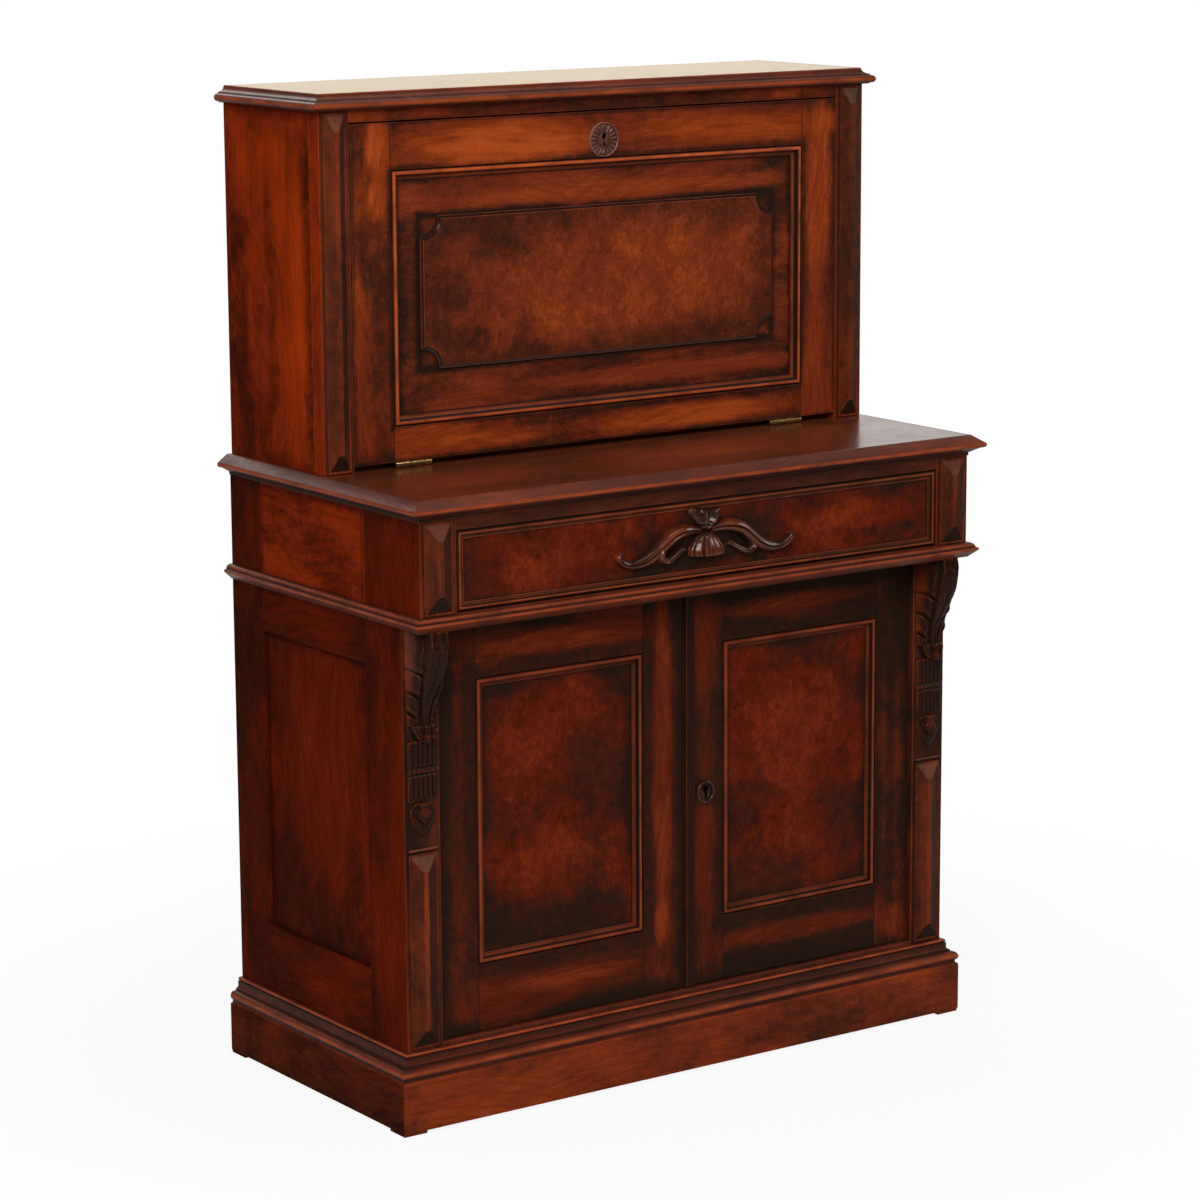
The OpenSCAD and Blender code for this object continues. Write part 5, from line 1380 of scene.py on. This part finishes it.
def rosetteDepth(r, turn):
    if r > rosette["rimFrom"]:
        return max(rosette["rimHigh"] * ridge(r - rosette["rimAt"], 1.5, 4), 0.9)
    if r < rosette["heart"]:
        return rosette["heartHigh"][r < 7.6]
    off = abs((turn / (2 * math.pi / rosette["petals"])) % 1 - 0.5)
    grow = (r - 8.4) / 10
    half = 0.16 + 0.30 * ramp(grow * 1.15) ** 0.8
    petal = math.sqrt(dome(off / half)) * ramp((18.9 - r) / 1.6) ** 0.5
    high, gain = rosette["petalHigh"]
    return 0.7 + (high + gain * grow) * petal


def cutKeyhole(disc):
    size = rosette
    deselectAll()
    bpy.ops.mesh.primitive_cylinder_add(vertices=28, radius=size["keyRadius"] * mm, depth=0.02,
                                        location=(0, 0, size["keyhole"] * mm), rotation=(math.pi / 2, 0, 0))
    cutter = bpy.context.object
    settle(cutter)
    wide, tall = size["slot"]
    bpy.ops.mesh.primitive_cube_add(size=1, location=(0, 0, (size["keyhole"] - tall / 2) * mm))
    slot = bpy.context.object
    slot.scale = (wide * mm, 0.0201, tall * mm)
    settle(slot)
    for tool in (cutter, slot):
        cut = disc.modifiers.new("keyhole", "BOOLEAN")
        cut.operation = "DIFFERENCE"
        cut.object = tool
        cut.solver = "EXACT"
    applyAll(disc)
    for tool in (cutter, slot):
        bpy.data.objects.remove(tool)


def makeRosette():
    size = rosette
    deselectAll()
    bpy.ops.mesh.primitive_circle_add(vertices=size["petals"] * 8, radius=size["radius"], fill_type="NGON",
                                      rotation=(math.pi / 2, 0, 0))
    disc = bpy.context.object
    settle(disc)
    editAll(disc)
    last = size["radius"]
    for ring in size["rings"]:
        bpy.ops.mesh.inset(thickness=last - ring)
        last = ring
    objectMode()
    for v in disc.data.vertices:
        r = math.hypot(v.co.x, v.co.z)
        edge = r > size["radius"] - 0.05
        v.co.y = 0.4 if edge else -rosetteDepth(r, math.atan2(v.co.x, v.co.z))
    disc.scale = (mm, mm, mm)
    moved(disc, z=size["middle"] * mm)
    editAll(disc)
    bpy.ops.mesh.region_to_loop()
    bpy.ops.mesh.edge_face_add()
    flatBack(disc, (0, 0, size["cut"] * mm), (0, 0, -1))
    cutKeyhole(disc)
    disc.name = "fall-rosette-carving"
    moved(disc, y=upperFace)
    finishCarving(disc, "fall", "fall_rosette", "rosetteWalnut", gain=0.8, lift=1.0, angle=35)


makePull()
makeCorbels()
makeRosette()
print("carving done")
